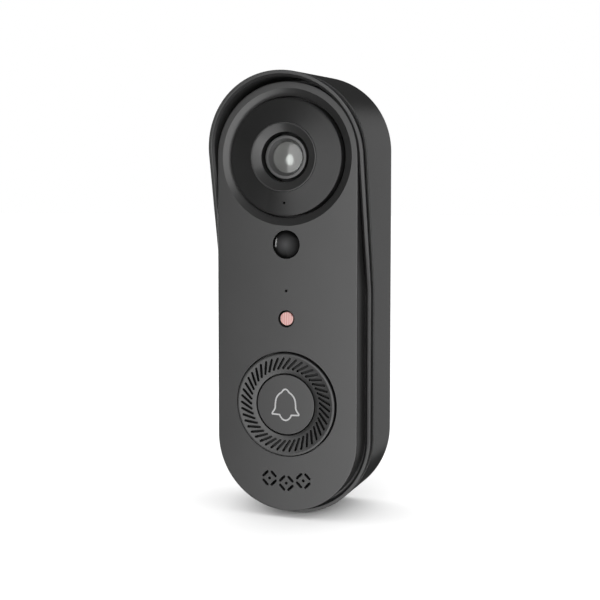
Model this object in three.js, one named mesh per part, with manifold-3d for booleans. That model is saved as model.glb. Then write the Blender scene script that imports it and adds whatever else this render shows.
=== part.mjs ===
// Battery video doorbell: wall bracket, rear shell, hooded frame, deep front plate, camera, bell button.
// Millimetres. +Z up, the front faces -Y, the wall is the plane Y = 0, and Z = 0 is half way up the plate.
import * as THREE from 'three';
import { mergeVertices } from 'three/addons/utils/BufferGeometryUtils.js';
import Module from 'manifold-3d';

const wasm = await Module();
wasm.setup();

// ---- Driving dimensions ----
const GAP = 0.3; // air between pieces that meet
const WALL = 2; // ordinary moulded wall
const FACE = -33.3; // front of the plate
const QUARTER = 8; // facets in a quarter turn of the case outline
const ROUND = 32; // facets in a full turn of a round piece
const SMALL_ROUND = 20; // and of one that is small or hidden

// Case outline: a pill whose straight sides run between two end centres.
const CASE_R = 26.3;
const CASE_LOW = -46.2;
const CASE_HIGH = 46.4; // at the front tip of the hood
const CASE_HIGH_BACK = 48; // at the wall
const CASE_EDGE = 0.7; // chamfer round the back

// Rim of the frame: square to the wall low down, leaning forward above the bend to make the hood.
const BEND_Z = 2.9;
const RIM_Y = -25.5;
const RIM_LEAN = 0.2214;
const RIM_LIP = 0.6; // depth of the lip in front of the groove
const RIM_FLAT = 0.8; // width of its front face, before the inner chamfer
const RIM_CHAMFER = 0.8;
const HOOD_TIP = RIM_Y - RIM_LEAN * (CASE_HIGH + CASE_R - BEND_Z);
const CASE_DRAFT = (CASE_HIGH_BACK - CASE_HIGH) / -HOOD_TIP;
const SHELL_Y = -21.5; // front edge of the rear shell
const SHELL_LEAN = 0.2;
const SHELL_TIP = SHELL_Y - SHELL_LEAN * (CASE_HIGH + CASE_R - BEND_Z);
const NECK_R = 25.2; // floor of the groove between rim and shell
const LAP_R = NECK_R + GAP; // lap of the shell round the neck
const LAP_Y = -20;
const GASKET_T = 0.95;
const BORE_R = 24.3; // inside of the rear shell
const SHELF_Y = -23.9; // shelf of the frame behind the plate
const FRAME_BACK = -19.5;
const FRAME_R = 22.3;

// Front plate
const PLATE_R = 24.1;
const PLATE_SLIT = 0.35; // between plate and frame
const PLATE_END = 45.9;
const PLATE_BACK = SHELF_Y - GAP;
const PLATE_INSIDE = FACE + WALL;

// Heights of what shows on the front
const CAMERA_Z = 45.57;
const PIR_Z = 17.42;
const PIR_HOLE_R = 4.65;
const MIC_Z = 2.37;
const LIGHT_Z = -6.71;
const BUTTON_Z = -34.69;
const SLOTS_Z = -60.82;
const SLOT = { width: 0.9, length: 2.8, out: 2.04, dot: 0.5 }; // four slots round a dot
const SPEAKER_Z = -57;

// Camera
const DISC_R = 19;
const DISC_FLANGE_BACK = -26.8;
const DISH_R = 22.1;
const DISH_FLOOR = -31.86; // where the dish, sloping in from the face, meets its bore
const DISC_BORE_R = 19.6;
const STATUS_Z = CAMERA_Z - 14.7;
const LAMP_CIRCLE_R = 13.6; // the infrared lamps stand on this circle
const CONE = { r: 11.1, innerR: 8.1, front: -36.1, innerFront: -34.4 };
const BARREL_R = 7;
const BARREL_FRONT = -33.7;
const BARREL_THREAD_R = 6;
const LENS_SEAT_R = 5.6;
const LENS_R = 5.3;
const REAR_LENS_R = 4.2;

// Bell button
const WELL_R = 17.3;
const WELL_FLOOR = -29.9;
const RING_R = 16.87;
const RING_BORE_R = 10.15;
const CAP_R = RING_BORE_R - GAP;
const CAP_FRONT = -34.05;

// Circuit boards and batteries
const BOARD_FRONT = -27.4;
const BOARD_T = 1.2;
const LOW_BOARD = -46;
const HIGH_BOARD = 23.5;
const ON_BOARD = BOARD_FRONT - GAP;
const CAMERA_BOARD = { front: -13.9, half: 11 };
const CELL = { r: 9.15, x: 9.5, y: -15.2, low: -46.6, high: 17.6, tip: 0.8 };
const TRAY = { x: 20.6, low: -51.6, high: 21.6, front: -25.8, back: -7.6, wall: 1.4 };

// Back of the case and the wall bracket that sits in its pocket
const POCKET_FLOOR = -3.2;
const BACK_INSIDE = -5.7;
const BRACKET = { r: 20.4, end: 37.6, front: -2.8 };
const LIFT = 4; // the housing lifts this far off the hooks
const POCKET = { r: BRACKET.r + 0.5, low: -BRACKET.end - LIFT - 0.4, high: BRACKET.end };
const HOOK = { x: 8.5, half: 2.5, stem: 2, lip: 3, tip: -7.2 };
const HOOK_HEIGHTS = [26, -53];
const DOOR = { x: 20.1, low: -48.4, high: 20.2, tab: 4.5, tabHigh: 29, screwZ: 25.5, t: 1.5 };
const CASE_SCREWS = [[17, 57.9], [-17, 57.9], [15, -61], [-15, -61]];
const LOCK_Y = -3.4; // axis of the locking screw that rises from below
const LUG = { half: 3.5, low: -56, high: -50, front: -6.4 };

// Charging socket under the case
const SOCKET = { y: -13.6, half: 4.47, t: 3.26, low: -69.9, high: -62.6 };
const COVER = { half: 7.1, front: -16.4, back: -10.4, inner: 24.6 };
const RESET_Z = 48;

// ---- Making and joining closed solids ----

// A closed geometry as a solid, turned right way out if its faces point inwards.
function solidOf(geometry) {
  const bare = geometry.index ? geometry.toNonIndexed() : geometry.clone();
  bare.deleteAttribute('normal');
  bare.deleteAttribute('uv');
  const merged = mergeVertices(bare, 1e-5);
  const vertProperties = Float32Array.from(merged.attributes.position.array);
  const triVerts = Uint32Array.from(merged.index.array);
  if (signedVolume(vertProperties, triVerts) < 0) {
    for (let i = 0; i < triVerts.length; i += 3) {
      [triVerts[i], triVerts[i + 1]] = [triVerts[i + 1], triVerts[i]];
    }
  }
  return new wasm.Manifold(new wasm.Mesh({ numProp: 3, vertProperties, triVerts }));
}

function signedVolume(points, triangles) {
  const corner = (k) => new THREE.Vector3().fromArray(points, 3 * k);
  let total = 0;
  for (let i = 0; i < triangles.length; i += 3) {
    const [a, b, c] = [0, 1, 2].map((n) => corner(triangles[i + n]));
    total += a.dot(b.cross(c));
  }
  return total;
}

function geometryOf(solid) {
  const { vertProperties, triVerts } = solid.getMesh();
  const geometry = new THREE.BufferGeometry();
  geometry.setAttribute('position', new THREE.BufferAttribute(vertProperties, 3));
  geometry.setIndex(new THREE.BufferAttribute(triVerts, 1));
  geometry.computeVertexNormals();
  return geometry;
}

const join = (first, ...rest) => rest.reduce((sum, piece) => sum.add(piece), first);
const cut = (first, ...rest) => rest.reduce((sum, piece) => sum.subtract(piece), first);

// A block between two opposite corners.
function block(x0, x1, y0, y1, z0, z1) {
  const geometry = new THREE.BoxGeometry(Math.abs(x1 - x0), Math.abs(y1 - y0), Math.abs(z1 - z0));
  geometry.translate((x0 + x1) / 2, (y0 + y1) / 2, (z0 + z1) / 2);
  return solidOf(geometry);
}

// A round bar along Y, centred at (x, z).
function bar(r, y0, y1, x, z, facets = SMALL_ROUND) {
  const geometry = new THREE.CylinderGeometry(r, r, Math.abs(y1 - y0), facets);
  geometry.translate(x, (y0 + y1) / 2, z);
  return solidOf(geometry);
}

// A round bar along Z, centred at (x, y).
function post(r, z0, z1, x, y, facets = SMALL_ROUND) {
  const geometry = new THREE.CylinderGeometry(r, r, Math.abs(z1 - z0), facets);
  geometry.rotateX(Math.PI / 2);
  geometry.translate(x, y, (z0 + z1) / 2);
  return solidOf(geometry);
}

// A piece turned about a line along Y: the profile lists [radius, y].
// It starts and ends on the axis, or the last point joins the first.
function turned(profile, x, z, facets = ROUND) {
  const points = profile.map(([r, y]) => new THREE.Vector2(r, y));
  if (profile[0][0] > 0) points.push(points[0].clone());
  const geometry = new THREE.LatheGeometry(points, facets);
  geometry.translate(x, 0, z);
  return solidOf(geometry);
}

// Points on a shallow arc from the axis at (0, apex) to (r, edge), for domes and lens faces.
function crown(r, apex, edge, steps = 4) {
  const sag = edge - apex;
  const radius = (r * r + sag * sag) / (2 * sag);
  const sweep = Math.asin(r / Math.abs(radius));
  return Array.from({ length: steps + 1 }, (_, i) => {
    const angle = (sweep * i) / steps;
    return [Math.abs(radius) * Math.sin(angle), apex + radius * (1 - Math.cos(angle))];
  });
}

// One loop of points round a pill outline, up the right side from the bottom and down the left.
// depth is the loop's Y, or a function of Z.
function pillLoop(r, low, high, depth) {
  const right = [];
  for (let i = 0; i <= QUARTER; i += 1) {
    const angle = ((i / QUARTER) * Math.PI) / 2;
    right.push([r * Math.sin(angle), low - r * Math.cos(angle)]);
  }
  right.push([r, BEND_Z]);
  for (let i = 0; i <= QUARTER; i += 1) {
    const angle = ((i / QUARTER) * Math.PI) / 2;
    right.push([r * Math.cos(angle), high + r * Math.sin(angle)]);
  }
  const left = right.slice(1, -1).reverse().map(([x, z]) => [-x, z]);
  const at = typeof depth === 'function' ? depth : () => depth;
  return [...right, ...left].map(([x, z]) => new THREE.Vector3(x, at(z), z));
}

// A skin through loops that all have the same number of points. A ring closes on its first loop;
// a plug has its first and last loops filled by strips from side to side.
function skin(loops, closed) {
  const n = loops[0].length;
  const points = loops.flat();
  const index = [];
  const spans = closed ? loops.length : loops.length - 1;
  for (let k = 0; k < spans; k += 1) {
    const here = k * n;
    const next = ((k + 1) % loops.length) * n;
    for (let i = 0; i < n; i += 1) {
      const j = (i + 1) % n;
      index.push(here + i, here + j, next + j, here + i, next + j, next + i);
    }
  }
  if (!closed) {
    fillLoop(index, 0, n, true);
    fillLoop(index, (loops.length - 1) * n, n, false);
  }
  const geometry = new THREE.BufferGeometry();
  const flat = points.flatMap((p) => p.toArray());
  geometry.setAttribute('position', new THREE.Float32BufferAttribute(flat, 3));
  geometry.setIndex(index);
  return solidOf(geometry);
}

function fillLoop(index, start, n, flip) {
  const triangle = (a, b, c) => index.push(...(flip ? [c, b, a] : [a, b, c]).map((k) => start + k));
  triangle(0, 1, n - 1);
  for (let i = 1; i < n / 2 - 1; i += 1) {
    triangle(i, i + 1, n - i - 1);
    triangle(i, n - i - 1, n - i);
  }
  triangle(n / 2 - 1, n / 2, n / 2 + 1);
}

const ring = (loops) => skin(loops, true);
const plug = (loops) => skin(loops, false);

// A prism along Y whose outline in X and Z is a rounded rectangle.
function tile(x0, x1, z0, z1, corner, y0, y1) {
  const shape = new THREE.Shape();
  shape.moveTo(x0 + corner, -z1);
  shape.lineTo(x1 - corner, -z1);
  shape.absarc(x1 - corner, -z1 + corner, corner, -Math.PI / 2, 0);
  shape.absarc(x1 - corner, -z0 - corner, corner, 0, Math.PI / 2);
  shape.absarc(x0 + corner, -z0 - corner, corner, Math.PI / 2, Math.PI);
  shape.absarc(x0 + corner, -z1 + corner, corner, Math.PI, 1.5 * Math.PI);
  const depth = Math.abs(y1 - y0);
  const geometry = new THREE.ExtrudeGeometry(shape, { depth, bevelEnabled: false, curveSegments: 6 });
  geometry.rotateX(-Math.PI / 2);
  geometry.translate(0, Math.min(y0, y1), 0);
  return solidOf(geometry);
}

// ---- Materials ----
function finish(color, roughness, metalness = 0) {
  return new THREE.MeshStandardMaterial({ color, roughness, metalness });
}

const casePlastic = finish(0x2b2b2c, 0.62);
const platePlastic = finish(0x343435, 0.5);
const glossBlack = finish(0x0b0b0c, 0.2);
const blackPlastic = finish(0x151516, 0.6);
const lensGlass = finish(0x8b9290, 0.05);
const sensorPink = finish(0xd9a09c, 0.4);
const rubber = finish(0x101011, 0.85);
const steel = finish(0x9b9c9e, 0.35, 1);
const board = finish(0x1c4a2c, 0.5);
const cellWrap = finish(0x2a5a86, 0.4);
const chip = finish(0x16171a, 0.5);

const doorbell = new THREE.Group();

function add(name, solid, material) {
  const mesh = new THREE.Mesh(geometryOf(solid), material.clone());
  mesh.name = name;
  doorbell.add(mesh);
}

// ---- Outline functions of the case ----
const rimDepth = (z) => RIM_Y - RIM_LEAN * Math.max(0, z - BEND_Z);
const shellDepth = (z) => SHELL_Y - SHELL_LEAN * Math.max(0, z - BEND_Z);
const caseLoop = (r, depth) => pillLoop(r, CASE_LOW, CASE_HIGH, depth);

// ---- Wall bracket: flat plate with wall-screw slots, four hooks and the lug for the locking screw ----
function wallBracket() {
  const outline = (r, y) => pillLoop(r, -BRACKET.end, BRACKET.end, y);
  let solid = plug([outline(BRACKET.r, 0), outline(BRACKET.r, BRACKET.front)]);
  for (const low of HOOK_HEIGHTS) {
    for (const side of [-1, 1]) {
      const x0 = side * HOOK.x - HOOK.half;
      const x1 = side * HOOK.x + HOOK.half;
      const stemTop = low + HOOK.stem;
      solid = join(
        solid,
        block(x0, x1, BRACKET.front + 0.5, HOOK.tip, low, stemTop),
        block(x0, x1, BACK_INSIDE - GAP, HOOK.tip, stemTop - 0.5, stemTop + HOOK.lip),
      );
    }
  }
  solid = join(solid, block(-LUG.half, LUG.half, -1, LUG.front, LUG.low, LUG.high));
  const screwRun = post(1.6, -60, -44, 0, LOCK_Y);
  const slotHalf = 3;
  const slotR = 1.95;
  const wallSlots = [-33, 44].flatMap((z) => [
    bar(slotR, 1, -4, 0, z - slotHalf),
    bar(slotR, 1, -4, 0, z + slotHalf),
    block(-slotR, slotR, 1, -4, z - slotHalf, z + slotHalf),
  ]);
  const sideSlots = [-1, 1].flatMap((side) => [
    bar(slotR, 1, -4, side * 12 - slotHalf, 4),
    bar(slotR, 1, -4, side * 12 + slotHalf, 4),
    block(side * 12 - slotHalf, side * 12 + slotHalf, 1, -4, 4 - slotR, 4 + slotR),
  ]);
  return cut(solid, screwRun, ...wallSlots, ...sideSlots);
}

add('wall_bracket', wallBracket(), blackPlastic);

// ---- Rear shell: deep cup with the bracket pocket, battery opening, bosses and socket mouth ----
function rearShell() {
  const shellHigh = (y) => CASE_HIGH + CASE_DRAFT * (y - HOOD_TIP);
  const outer = plug([
    pillLoop(CASE_R, CASE_LOW, shellHigh(SHELL_TIP), shellDepth),
    pillLoop(CASE_R, CASE_LOW, shellHigh(-CASE_EDGE), -CASE_EDGE),
    pillLoop(CASE_R - CASE_EDGE, CASE_LOW, shellHigh(0), 0),
  ]);
  const lap = plug([caseLoop(LAP_R, -60), caseLoop(LAP_R, LAP_Y)]);
  const bore = plug([caseLoop(BORE_R, -60), caseLoop(BORE_R, BACK_INSIDE)]);
  const pocket = plug([
    pillLoop(POCKET.r, POCKET.low, POCKET.high, 1),
    pillLoop(POCKET.r, POCKET.low, POCKET.high, POCKET_FLOOR),
  ]);
  let solid = cut(outer, lap, bore, pocket);

  const bosses = CASE_SCREWS.map(([x, z]) => bar(3.4, BACK_INSIDE + 1, -12, x, z));
  const doorBoss = bar(2.9, BACK_INSIDE + 1, -11, 0, DOOR.screwZ);
  const corners = [-9.3, 9.3].flatMap((x) => [-9.3, 9.3].map((dz) => [x, CAMERA_Z + dz]));
  const boardPosts = corners.map(([x, z]) => bar(1.6, BACK_INSIDE + 1, -12.4, x, z, 16));
  solid = join(solid, ...bosses, doorBoss, ...boardPosts);

  const screwCuts = CASE_SCREWS.flatMap(([x, z]) => [
    bar(2.9, 1, -3, x, z),
    bar(1.6, 1, -13, x, z),
  ]);
  const hookSlots = HOOK_HEIGHTS.flatMap((low) => [-1, 1].map((side) => {
    const x0 = side * HOOK.x - HOOK.half - GAP;
    const x1 = side * HOOK.x + HOOK.half + GAP;
    return block(x0, x1, 0, -6, low - LIFT - 0.2, low + HOOK.stem + GAP);
  }));
  const lugSlot = block(-LUG.half - 0.4, LUG.half + 0.4, 0, -6, LUG.low - LIFT - 0.4, LUG.high + 0.4);
  const lockHole = join(post(1.6, -75, -60, 0, LOCK_Y), post(2.9, -75, -70, 0, LOCK_Y));
  const edge = 0.35;
  const rabbet = join(
    tile(-DOOR.x - edge, DOOR.x + edge, DOOR.low - edge, DOOR.high + edge, 3, 0, -5),
    tile(-DOOR.tab - edge, DOOR.tab + edge, 0, DOOR.tabHigh + edge, 2, 0, -5),
  );
  const opening = block(-18.9, 18.9, 0, -7, CELL.low - 0.4, CELL.high + CELL.tip + 0.4);
  const doorHole = bar(1.6, 0, -12, 0, DOOR.screwZ);
  const mouth = block(-COVER.half - 0.4, COVER.half + 0.4, -17.2, -10.1, -80, -66);
  const resetHole = bar(2.3, 0, -7, 0, RESET_Z);
  return cut(
    solid, ...screwCuts, ...hookSlots, lugSlot, lockHole, rabbet, opening, doorHole, mouth, resetHole,
  );
}

add('rear_shell', rearShell(), casePlastic);

// ---- Hooded frame: carries the plate, laps into the rear shell and takes the four case screws ----
function visorFrame() {
  const solid = ring([
    caseLoop(CASE_R, rimDepth),
    caseLoop(CASE_R - RIM_FLAT, rimDepth),
    caseLoop(PLATE_R + PLATE_SLIT, (z) => rimDepth(z) + RIM_CHAMFER),
    caseLoop(PLATE_R + PLATE_SLIT, SHELF_Y),
    caseLoop(FRAME_R, SHELF_Y),
    caseLoop(FRAME_R, FRAME_BACK),
    caseLoop(BORE_R - 0.4, FRAME_BACK),
    caseLoop(BORE_R - 0.4, LAP_Y - GASKET_T - 2 * GAP),
    caseLoop(NECK_R, LAP_Y - GASKET_T - 2 * GAP),
    caseLoop(NECK_R, (z) => rimDepth(z) + RIM_LIP),
    caseLoop(CASE_R, (z) => rimDepth(z) + RIM_LIP),
  ]);
  const bosses = CASE_SCREWS.map(([x, z]) => bar(2.8, -12.3, -22.5, x, z));
  const holes = CASE_SCREWS.map(([x, z]) => bar(1.5, -12, -20.5, x, z));
  return cut(join(solid, ...bosses), ...holes);
}

add('visor_frame', visorFrame(), casePlastic);

// Square-section rubber ring in the lap between frame and shell.
add('seam_gasket', ring([
  caseLoop(NECK_R, LAP_Y - GASKET_T - GAP),
  caseLoop(BORE_R + 0.25, LAP_Y - GASKET_T - GAP),
  caseLoop(BORE_R + 0.25, LAP_Y - GAP),
  caseLoop(NECK_R, LAP_Y - GAP),
]), rubber);

// ---- Front plate: a deep cap with a dish for the camera and a well for the bell button ----
function speakerSlots() {
  const groups = [[-5.88, 1.25], [0, 0], [5.88, 1.25]];
  const cuts = [];
  for (const [x, rise] of groups) {
    const z = SLOTS_Z + rise;
    cuts.push(bar(SLOT.dot, FACE - 1, PLATE_INSIDE + 1, x, z, 12));
    for (let i = 0; i < 4; i += 1) {
      const angle = Math.PI / 4 + (i * Math.PI) / 2;
      const geometry = new THREE.BoxGeometry(SLOT.width, 5, SLOT.length);
      geometry.translate(SLOT.out, PLATE_INSIDE, 0);
      geometry.rotateY(-angle);
      geometry.translate(x, 0, z);
      cuts.push(solidOf(geometry));
    }
  }
  return cuts;
}

function frontPlate() {
  const loop = (r, y) => pillLoop(r, -PLATE_END, PLATE_END, y);
  const outer = plug([
    loop(PLATE_R - 0.45, FACE),
    loop(PLATE_R - 0.13, FACE + 0.13),
    loop(PLATE_R, FACE + 0.45),
    loop(PLATE_R, PLATE_BACK),
  ]);
  const inner = plug([loop(PLATE_R - 1.9, PLATE_INSIDE), loop(PLATE_R - 1.9, -20)]);
  const body = join(
    cut(outer, inner),
    bar(22.8, PLATE_INSIDE - 0.5, -28.3, 0, CAMERA_Z, ROUND),
    bar(18.8, PLATE_INSIDE - 0.5, -28.6, 0, BUTTON_Z, ROUND),
  );
  const dishSlope = (DISH_R - DISC_BORE_R) / (DISH_FLOOR - FACE);
  const dish = turned([
    [0, FACE - 1], [DISH_R + dishSlope, FACE - 1], [DISC_BORE_R, DISH_FLOOR], [0, DISH_FLOOR],
  ], 0, CAMERA_Z);
  return cut(
    body,
    dish,
    bar(DISC_BORE_R, -32, -27, 0, CAMERA_Z, ROUND),
    bar(WELL_R, FACE - 1, WELL_FLOOR, 0, BUTTON_Z, ROUND),
    bar(12.2, FACE, -27, 0, BUTTON_Z, ROUND),
    bar(PIR_HOLE_R, FACE - 1, -30, 0, PIR_Z, ROUND),
    bar(2.78, FACE - 1, -30, 0, LIGHT_Z),
    bar(0.45, FACE - 1, -30, 0, MIC_Z, 12),
    ...speakerSlots(),
  );
}

add('front_plate', frontPlate(), platePlastic);

// ---- Camera: cover disc, cone trim, barrel with its lenses, holder, board and sensor ----
function coverDisc() {
  const solid = turned([
    [CONE.r + GAP, CONE.front + 0.05], [18.2, -34.3], [18.8, -34.05], [DISC_R, -33.7],
    [DISC_R, DISC_FLANGE_BACK - 1.2], [21.2, DISC_FLANGE_BACK - 1.2], [21.2, DISC_FLANGE_BACK],
    [17.8, DISC_FLANGE_BACK], [17.8, -32.4], [CONE.r + GAP, -33.6],
  ], 0, CAMERA_Z);
  return cut(solid, bar(0.45, -37, -27, 0, STATUS_Z, 12));
}

add('camera_cover_disc', coverDisc(), glossBlack);
add('lens_trim_cone', turned([
  [CONE.innerR, CONE.innerFront], [CONE.r, CONE.front], [CONE.r, -33.2], [9.4, -33.2], [9.4, -30.5],
  [CONE.innerR, -30.5],
], 0, CAMERA_Z), blackPlastic);
add('lens_barrel', turned([
  [5.05, -31.9], [5.05, -32.1], [5.9, -33.5], [6.1, BARREL_FRONT], [BARREL_R - 0.2, BARREL_FRONT],
  [BARREL_R, BARREL_FRONT + 0.2], [BARREL_R, -28], [BARREL_THREAD_R, -28], [BARREL_THREAD_R, -18],
  [REAR_LENS_R + GAP, -18], [REAR_LENS_R + GAP, -25.7], [LENS_SEAT_R, -25.7], [LENS_SEAT_R, -31.9],
], 0, CAMERA_Z), blackPlastic);
add('front_lens', turned([
  ...crown(LENS_R, -32.2, -31.5), [LENS_R, -30.7], [0, -30.7],
], 0, CAMERA_Z), lensGlass);
add('lens_spacer', turned([
  [4.1, -30.4], [LENS_R, -30.4], [LENS_R, -29.4], [4.1, -29.4],
], 0, CAMERA_Z, SMALL_ROUND), blackPlastic);
add('middle_lens', turned([
  ...crown(LENS_R, -29.1, -28.4), [LENS_R, -26.9], [0, -26.9],
], 0, CAMERA_Z, SMALL_ROUND), lensGlass);
add('lens_iris', turned([
  [1.6, -26.6], [LENS_R, -26.6], [LENS_R, -26], [1.6, -26],
], 0, CAMERA_Z, SMALL_ROUND), blackPlastic);
add('rear_lens', turned([
  ...crown(REAR_LENS_R, -25.4, -24.8), [REAR_LENS_R, -23.3], [0, -23.3],
], 0, CAMERA_Z, SMALL_ROUND), lensGlass);

function lensHolder() {
  const tube = bar(8.4, -27.5, -14.2, 0, CAMERA_Z);
  const foot = block(-8.8, 8.8, -17.4, -14.2, CAMERA_Z - 8.8, CAMERA_Z + 8.8);
  const room = block(-6.6, 6.6, -16.6, -14, CAMERA_Z - 6.6, CAMERA_Z + 6.6);
  return cut(join(tube, foot), bar(BARREL_THREAD_R + 0.35, -28, -16, 0, CAMERA_Z), room);
}

add('lens_holder', lensHolder(), blackPlastic);
const cameraHalf = CAMERA_BOARD.half;
add('camera_board', block(
  -cameraHalf, cameraHalf, CAMERA_BOARD.front, CAMERA_BOARD.front + BOARD_T,
  CAMERA_Z - cameraHalf, CAMERA_Z + cameraHalf,
), board);
add('image_sensor', block(
  -4.5, 4.5, -15.6, CAMERA_BOARD.front - GAP, CAMERA_Z - 4.5, CAMERA_Z + 4.5,
), chip);

// Night-light board: a ring behind the cover disc with five infrared lamps, and the status light
// in the sixth place, at the bottom.
add('ir_led_board', turned([
  [9, -27.6], [17.4, -27.6], [17.4, -26.4], [9, -26.4],
], 0, CAMERA_Z), board);
for (let i = 1; i <= 5; i += 1) {
  const angle = -Math.PI / 2 + (i * Math.PI) / 3;
  const x = LAMP_CIRCLE_R * Math.cos(angle);
  const z = CAMERA_Z + LAMP_CIRCLE_R * Math.sin(angle);
  const lens = crown(1.6, -31.8, -30.6, 2);
  add(`ir_led_${i}`, turned([...lens, [1.9, -29], [1.9, -27.9], [0, -27.9]], x, z, 12), glossBlack);
}
add('status_light', turned([
  [0, -32.4], [0.9, -32.4], [1.4, -29.4], [1.4, -27.9], [0, -27.9],
], 0, STATUS_Z, 12), lensGlass);

// ---- Motion sensor, microphone and light sensor ----
add('pir_dome', turned([
  ...crown(PIR_HOLE_R - GAP, -34, -32.9), [PIR_HOLE_R - GAP, -31], [5.05, -31], [5.05, -30.2],
  [3.7, -30.2], [3.7, -32.1], [0, -32.9],
], 0, PIR_Z), glossBlack);
add('pir_sensor', turned([
  [0, -29.9], [3.6, -29.9], [3.6, -28.3], [4, -28.3], [4, ON_BOARD], [0, ON_BOARD],
], 0, PIR_Z, SMALL_ROUND), steel);
add('mic_boot', turned([
  [0.5, -31], [3, -31], [3, -29.2], [0.5, -29.2],
], 0, MIC_Z, SMALL_ROUND), rubber);
add('microphone', bar(2, -28.9, ON_BOARD, 0, MIC_Z), steel);
add('light_sensor', turned([
  [0, -32.9], [2, -32.9], [2.17, -32.7], [2.17, -31.4], [0, -31.4],
], 0, LIGHT_Z, SMALL_ROUND), sensorPink);
add('light_sensor_holder', bar(2.45, -31.1, ON_BOARD, 0, LIGHT_Z), blackPlastic);

// ---- Bell button: fixed ring, moving cap, and the switch behind it ----
add('button_ring', turned([
  [RING_BORE_R, -33.95], [11.2, -34.1], [15.9, -34.5], [16.4, -34.66], [RING_R, -34.4], [RING_R, -30.2],
  [15.4, -30.2], [15.4, -32.4], [11.9, -32.4], [11.9, -30.2], [RING_BORE_R, -30.2],
], 0, BUTTON_Z), platePlastic);
add('bell_button', turned([
  [0, CAP_FRONT], [CAP_R - 0.25, CAP_FRONT], [CAP_R, CAP_FRONT + 0.25], [CAP_R, -29.9],
  [11.6, -29.9], [11.6, -29], [8.6, -29], [8.6, -31.9], [2, -31.9], [2, -31], [0, -31],
], 0, BUTTON_Z), platePlastic);
add('switch_plunger', bar(1.7, -30.7, -28.9, 0, BUTTON_Z), glossBlack);
add('bell_switch', cut(
  block(-3, 3, -29.9, ON_BOARD, BUTTON_Z - 3, BUTTON_Z + 3),
  bar(2, -31, -28, 0, BUTTON_Z),
), steel);

// ---- Main board and what it carries ----
add('main_board', tile(-19, 19, LOW_BOARD, HIGH_BOARD, 3, BOARD_FRONT, BOARD_FRONT + BOARD_T), board);
add('processor_shield', block(6.5, 18, -29.7, ON_BOARD, -13, 9), steel);
add('wifi_module', block(-18, -6.5, -29.5, ON_BOARD, -13, 3), steel);
add('wifi_antenna', block(-18, -7.5, -28.3, ON_BOARD, 6, 21), chip);

// ---- Speaker behind its slots, sealed to the plate by a foam ring ----
add('speaker', turned([
  [0, -27.2], [4, -27.6], [8.2, -27], [8.8, -28], [10, -28], [10, -26.5], [5, -26.1], [5, -24.4],
  [0, -24.4],
], 0, SPEAKER_Z, SMALL_ROUND), blackPlastic);

function speakerGasket() {
  const z = SLOTS_Z + 0.62;
  const outer = tile(-10.4, 10.4, z - 5.2, z + 5.2, 5.1, -31, -28.3);
  const inner = tile(-9.2, 9.2, z - 3.8, z + 3.8, 3.7, -32, -27);
  return cut(outer, inner);
}

add('speaker_gasket', speakerGasket(), rubber);

// ---- Batteries in their tray, with springs, contacts and door ----
add('battery_tray', cut(
  block(-TRAY.x, TRAY.x, TRAY.front, TRAY.back, TRAY.low, TRAY.high),
  block(
    -TRAY.x + TRAY.wall, TRAY.x - TRAY.wall, TRAY.front + 1.1, TRAY.back + 1,
    TRAY.low + TRAY.wall, TRAY.high - TRAY.wall,
  ),
), blackPlastic);

class ConeHelix extends THREE.Curve {
  constructor(x, low, high) {
    super();
    Object.assign(this, { x, low, high });
  }

  getPoint(t, target = new THREE.Vector3()) {
    const angle = t * 2.5 * 2 * Math.PI;
    const r = 5.5 - 3 * t;
    const z = this.low + (this.high - this.low) * t;
    return target.set(this.x + r * Math.cos(angle), CELL.y + r * Math.sin(angle), z);
  }
}

function wireSection(r) {
  const shape = new THREE.Shape();
  shape.absarc(0, 0, r, 0, 2 * Math.PI);
  return shape;
}

[-1, 1].forEach((side, i) => {
  const x = side * CELL.x;
  add(`battery_cell_${i + 1}`, join(
    post(CELL.r, CELL.low, CELL.high, x, CELL.y, 28),
    post(2.8, CELL.high - 0.5, CELL.high + CELL.tip, x, CELL.y),
  ), cellWrap);
  const helix = new ConeHelix(x, CELL.low - 2.25, CELL.low - 0.65);
  const options = { steps: 26, bevelEnabled: false, extrudePath: helix, curveSegments: 2 };
  add(`battery_spring_${i + 1}`, solidOf(new THREE.ExtrudeGeometry(wireSection(0.3), options)), steel);
  add(`battery_contact_${i + 1}`, block(
    x - 5, x + 5, CELL.y - 5, CELL.y + 5, CELL.high + CELL.tip + GAP, CELL.high + CELL.tip + 0.8,
  ), steel);
});
add('battery_link', block(-16, 16, CELL.y - 5, CELL.y + 5, CELL.low - 3.3, CELL.low - 2.9), steel);

function batteryDoor() {
  const y0 = POCKET_FLOOR;
  const y1 = POCKET_FLOOR - DOOR.t;
  const leaf = tile(-DOOR.x, DOOR.x, DOOR.low, DOOR.high, 3, y0, y1);
  const tab = tile(-DOOR.tab, DOOR.tab, DOOR.high - 5, DOOR.tabHigh, 2, y0, y1);
  const screwHole = join(bar(1.6, 0, -6, 0, DOOR.screwZ), bar(2.7, 0, y0 - 1, 0, DOOR.screwZ));
  return cut(join(leaf, tab), screwHole);
}

add('battery_door', batteryDoor(), casePlastic);

// ---- Screws: pan heads with a cross recess, standing on the origin with the shank down -Y ----
function screw(headR, headT, shankR, length) {
  const solid = turned([
    [0, 0], [headR * 0.7, 0], [headR, -headT * 0.4], [headR, -headT], [shankR, -headT],
    [shankR, -length + 0.8], [0.4, -length], [0, -length],
  ], 0, 0, 12);
  const arm = headR * 0.55;
  const depth = -headT * 0.45;
  return cut(solid, block(-0.3, 0.3, 1, depth, -arm, arm), block(-arm, arm, 1, depth, -0.3, 0.3));
}

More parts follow.
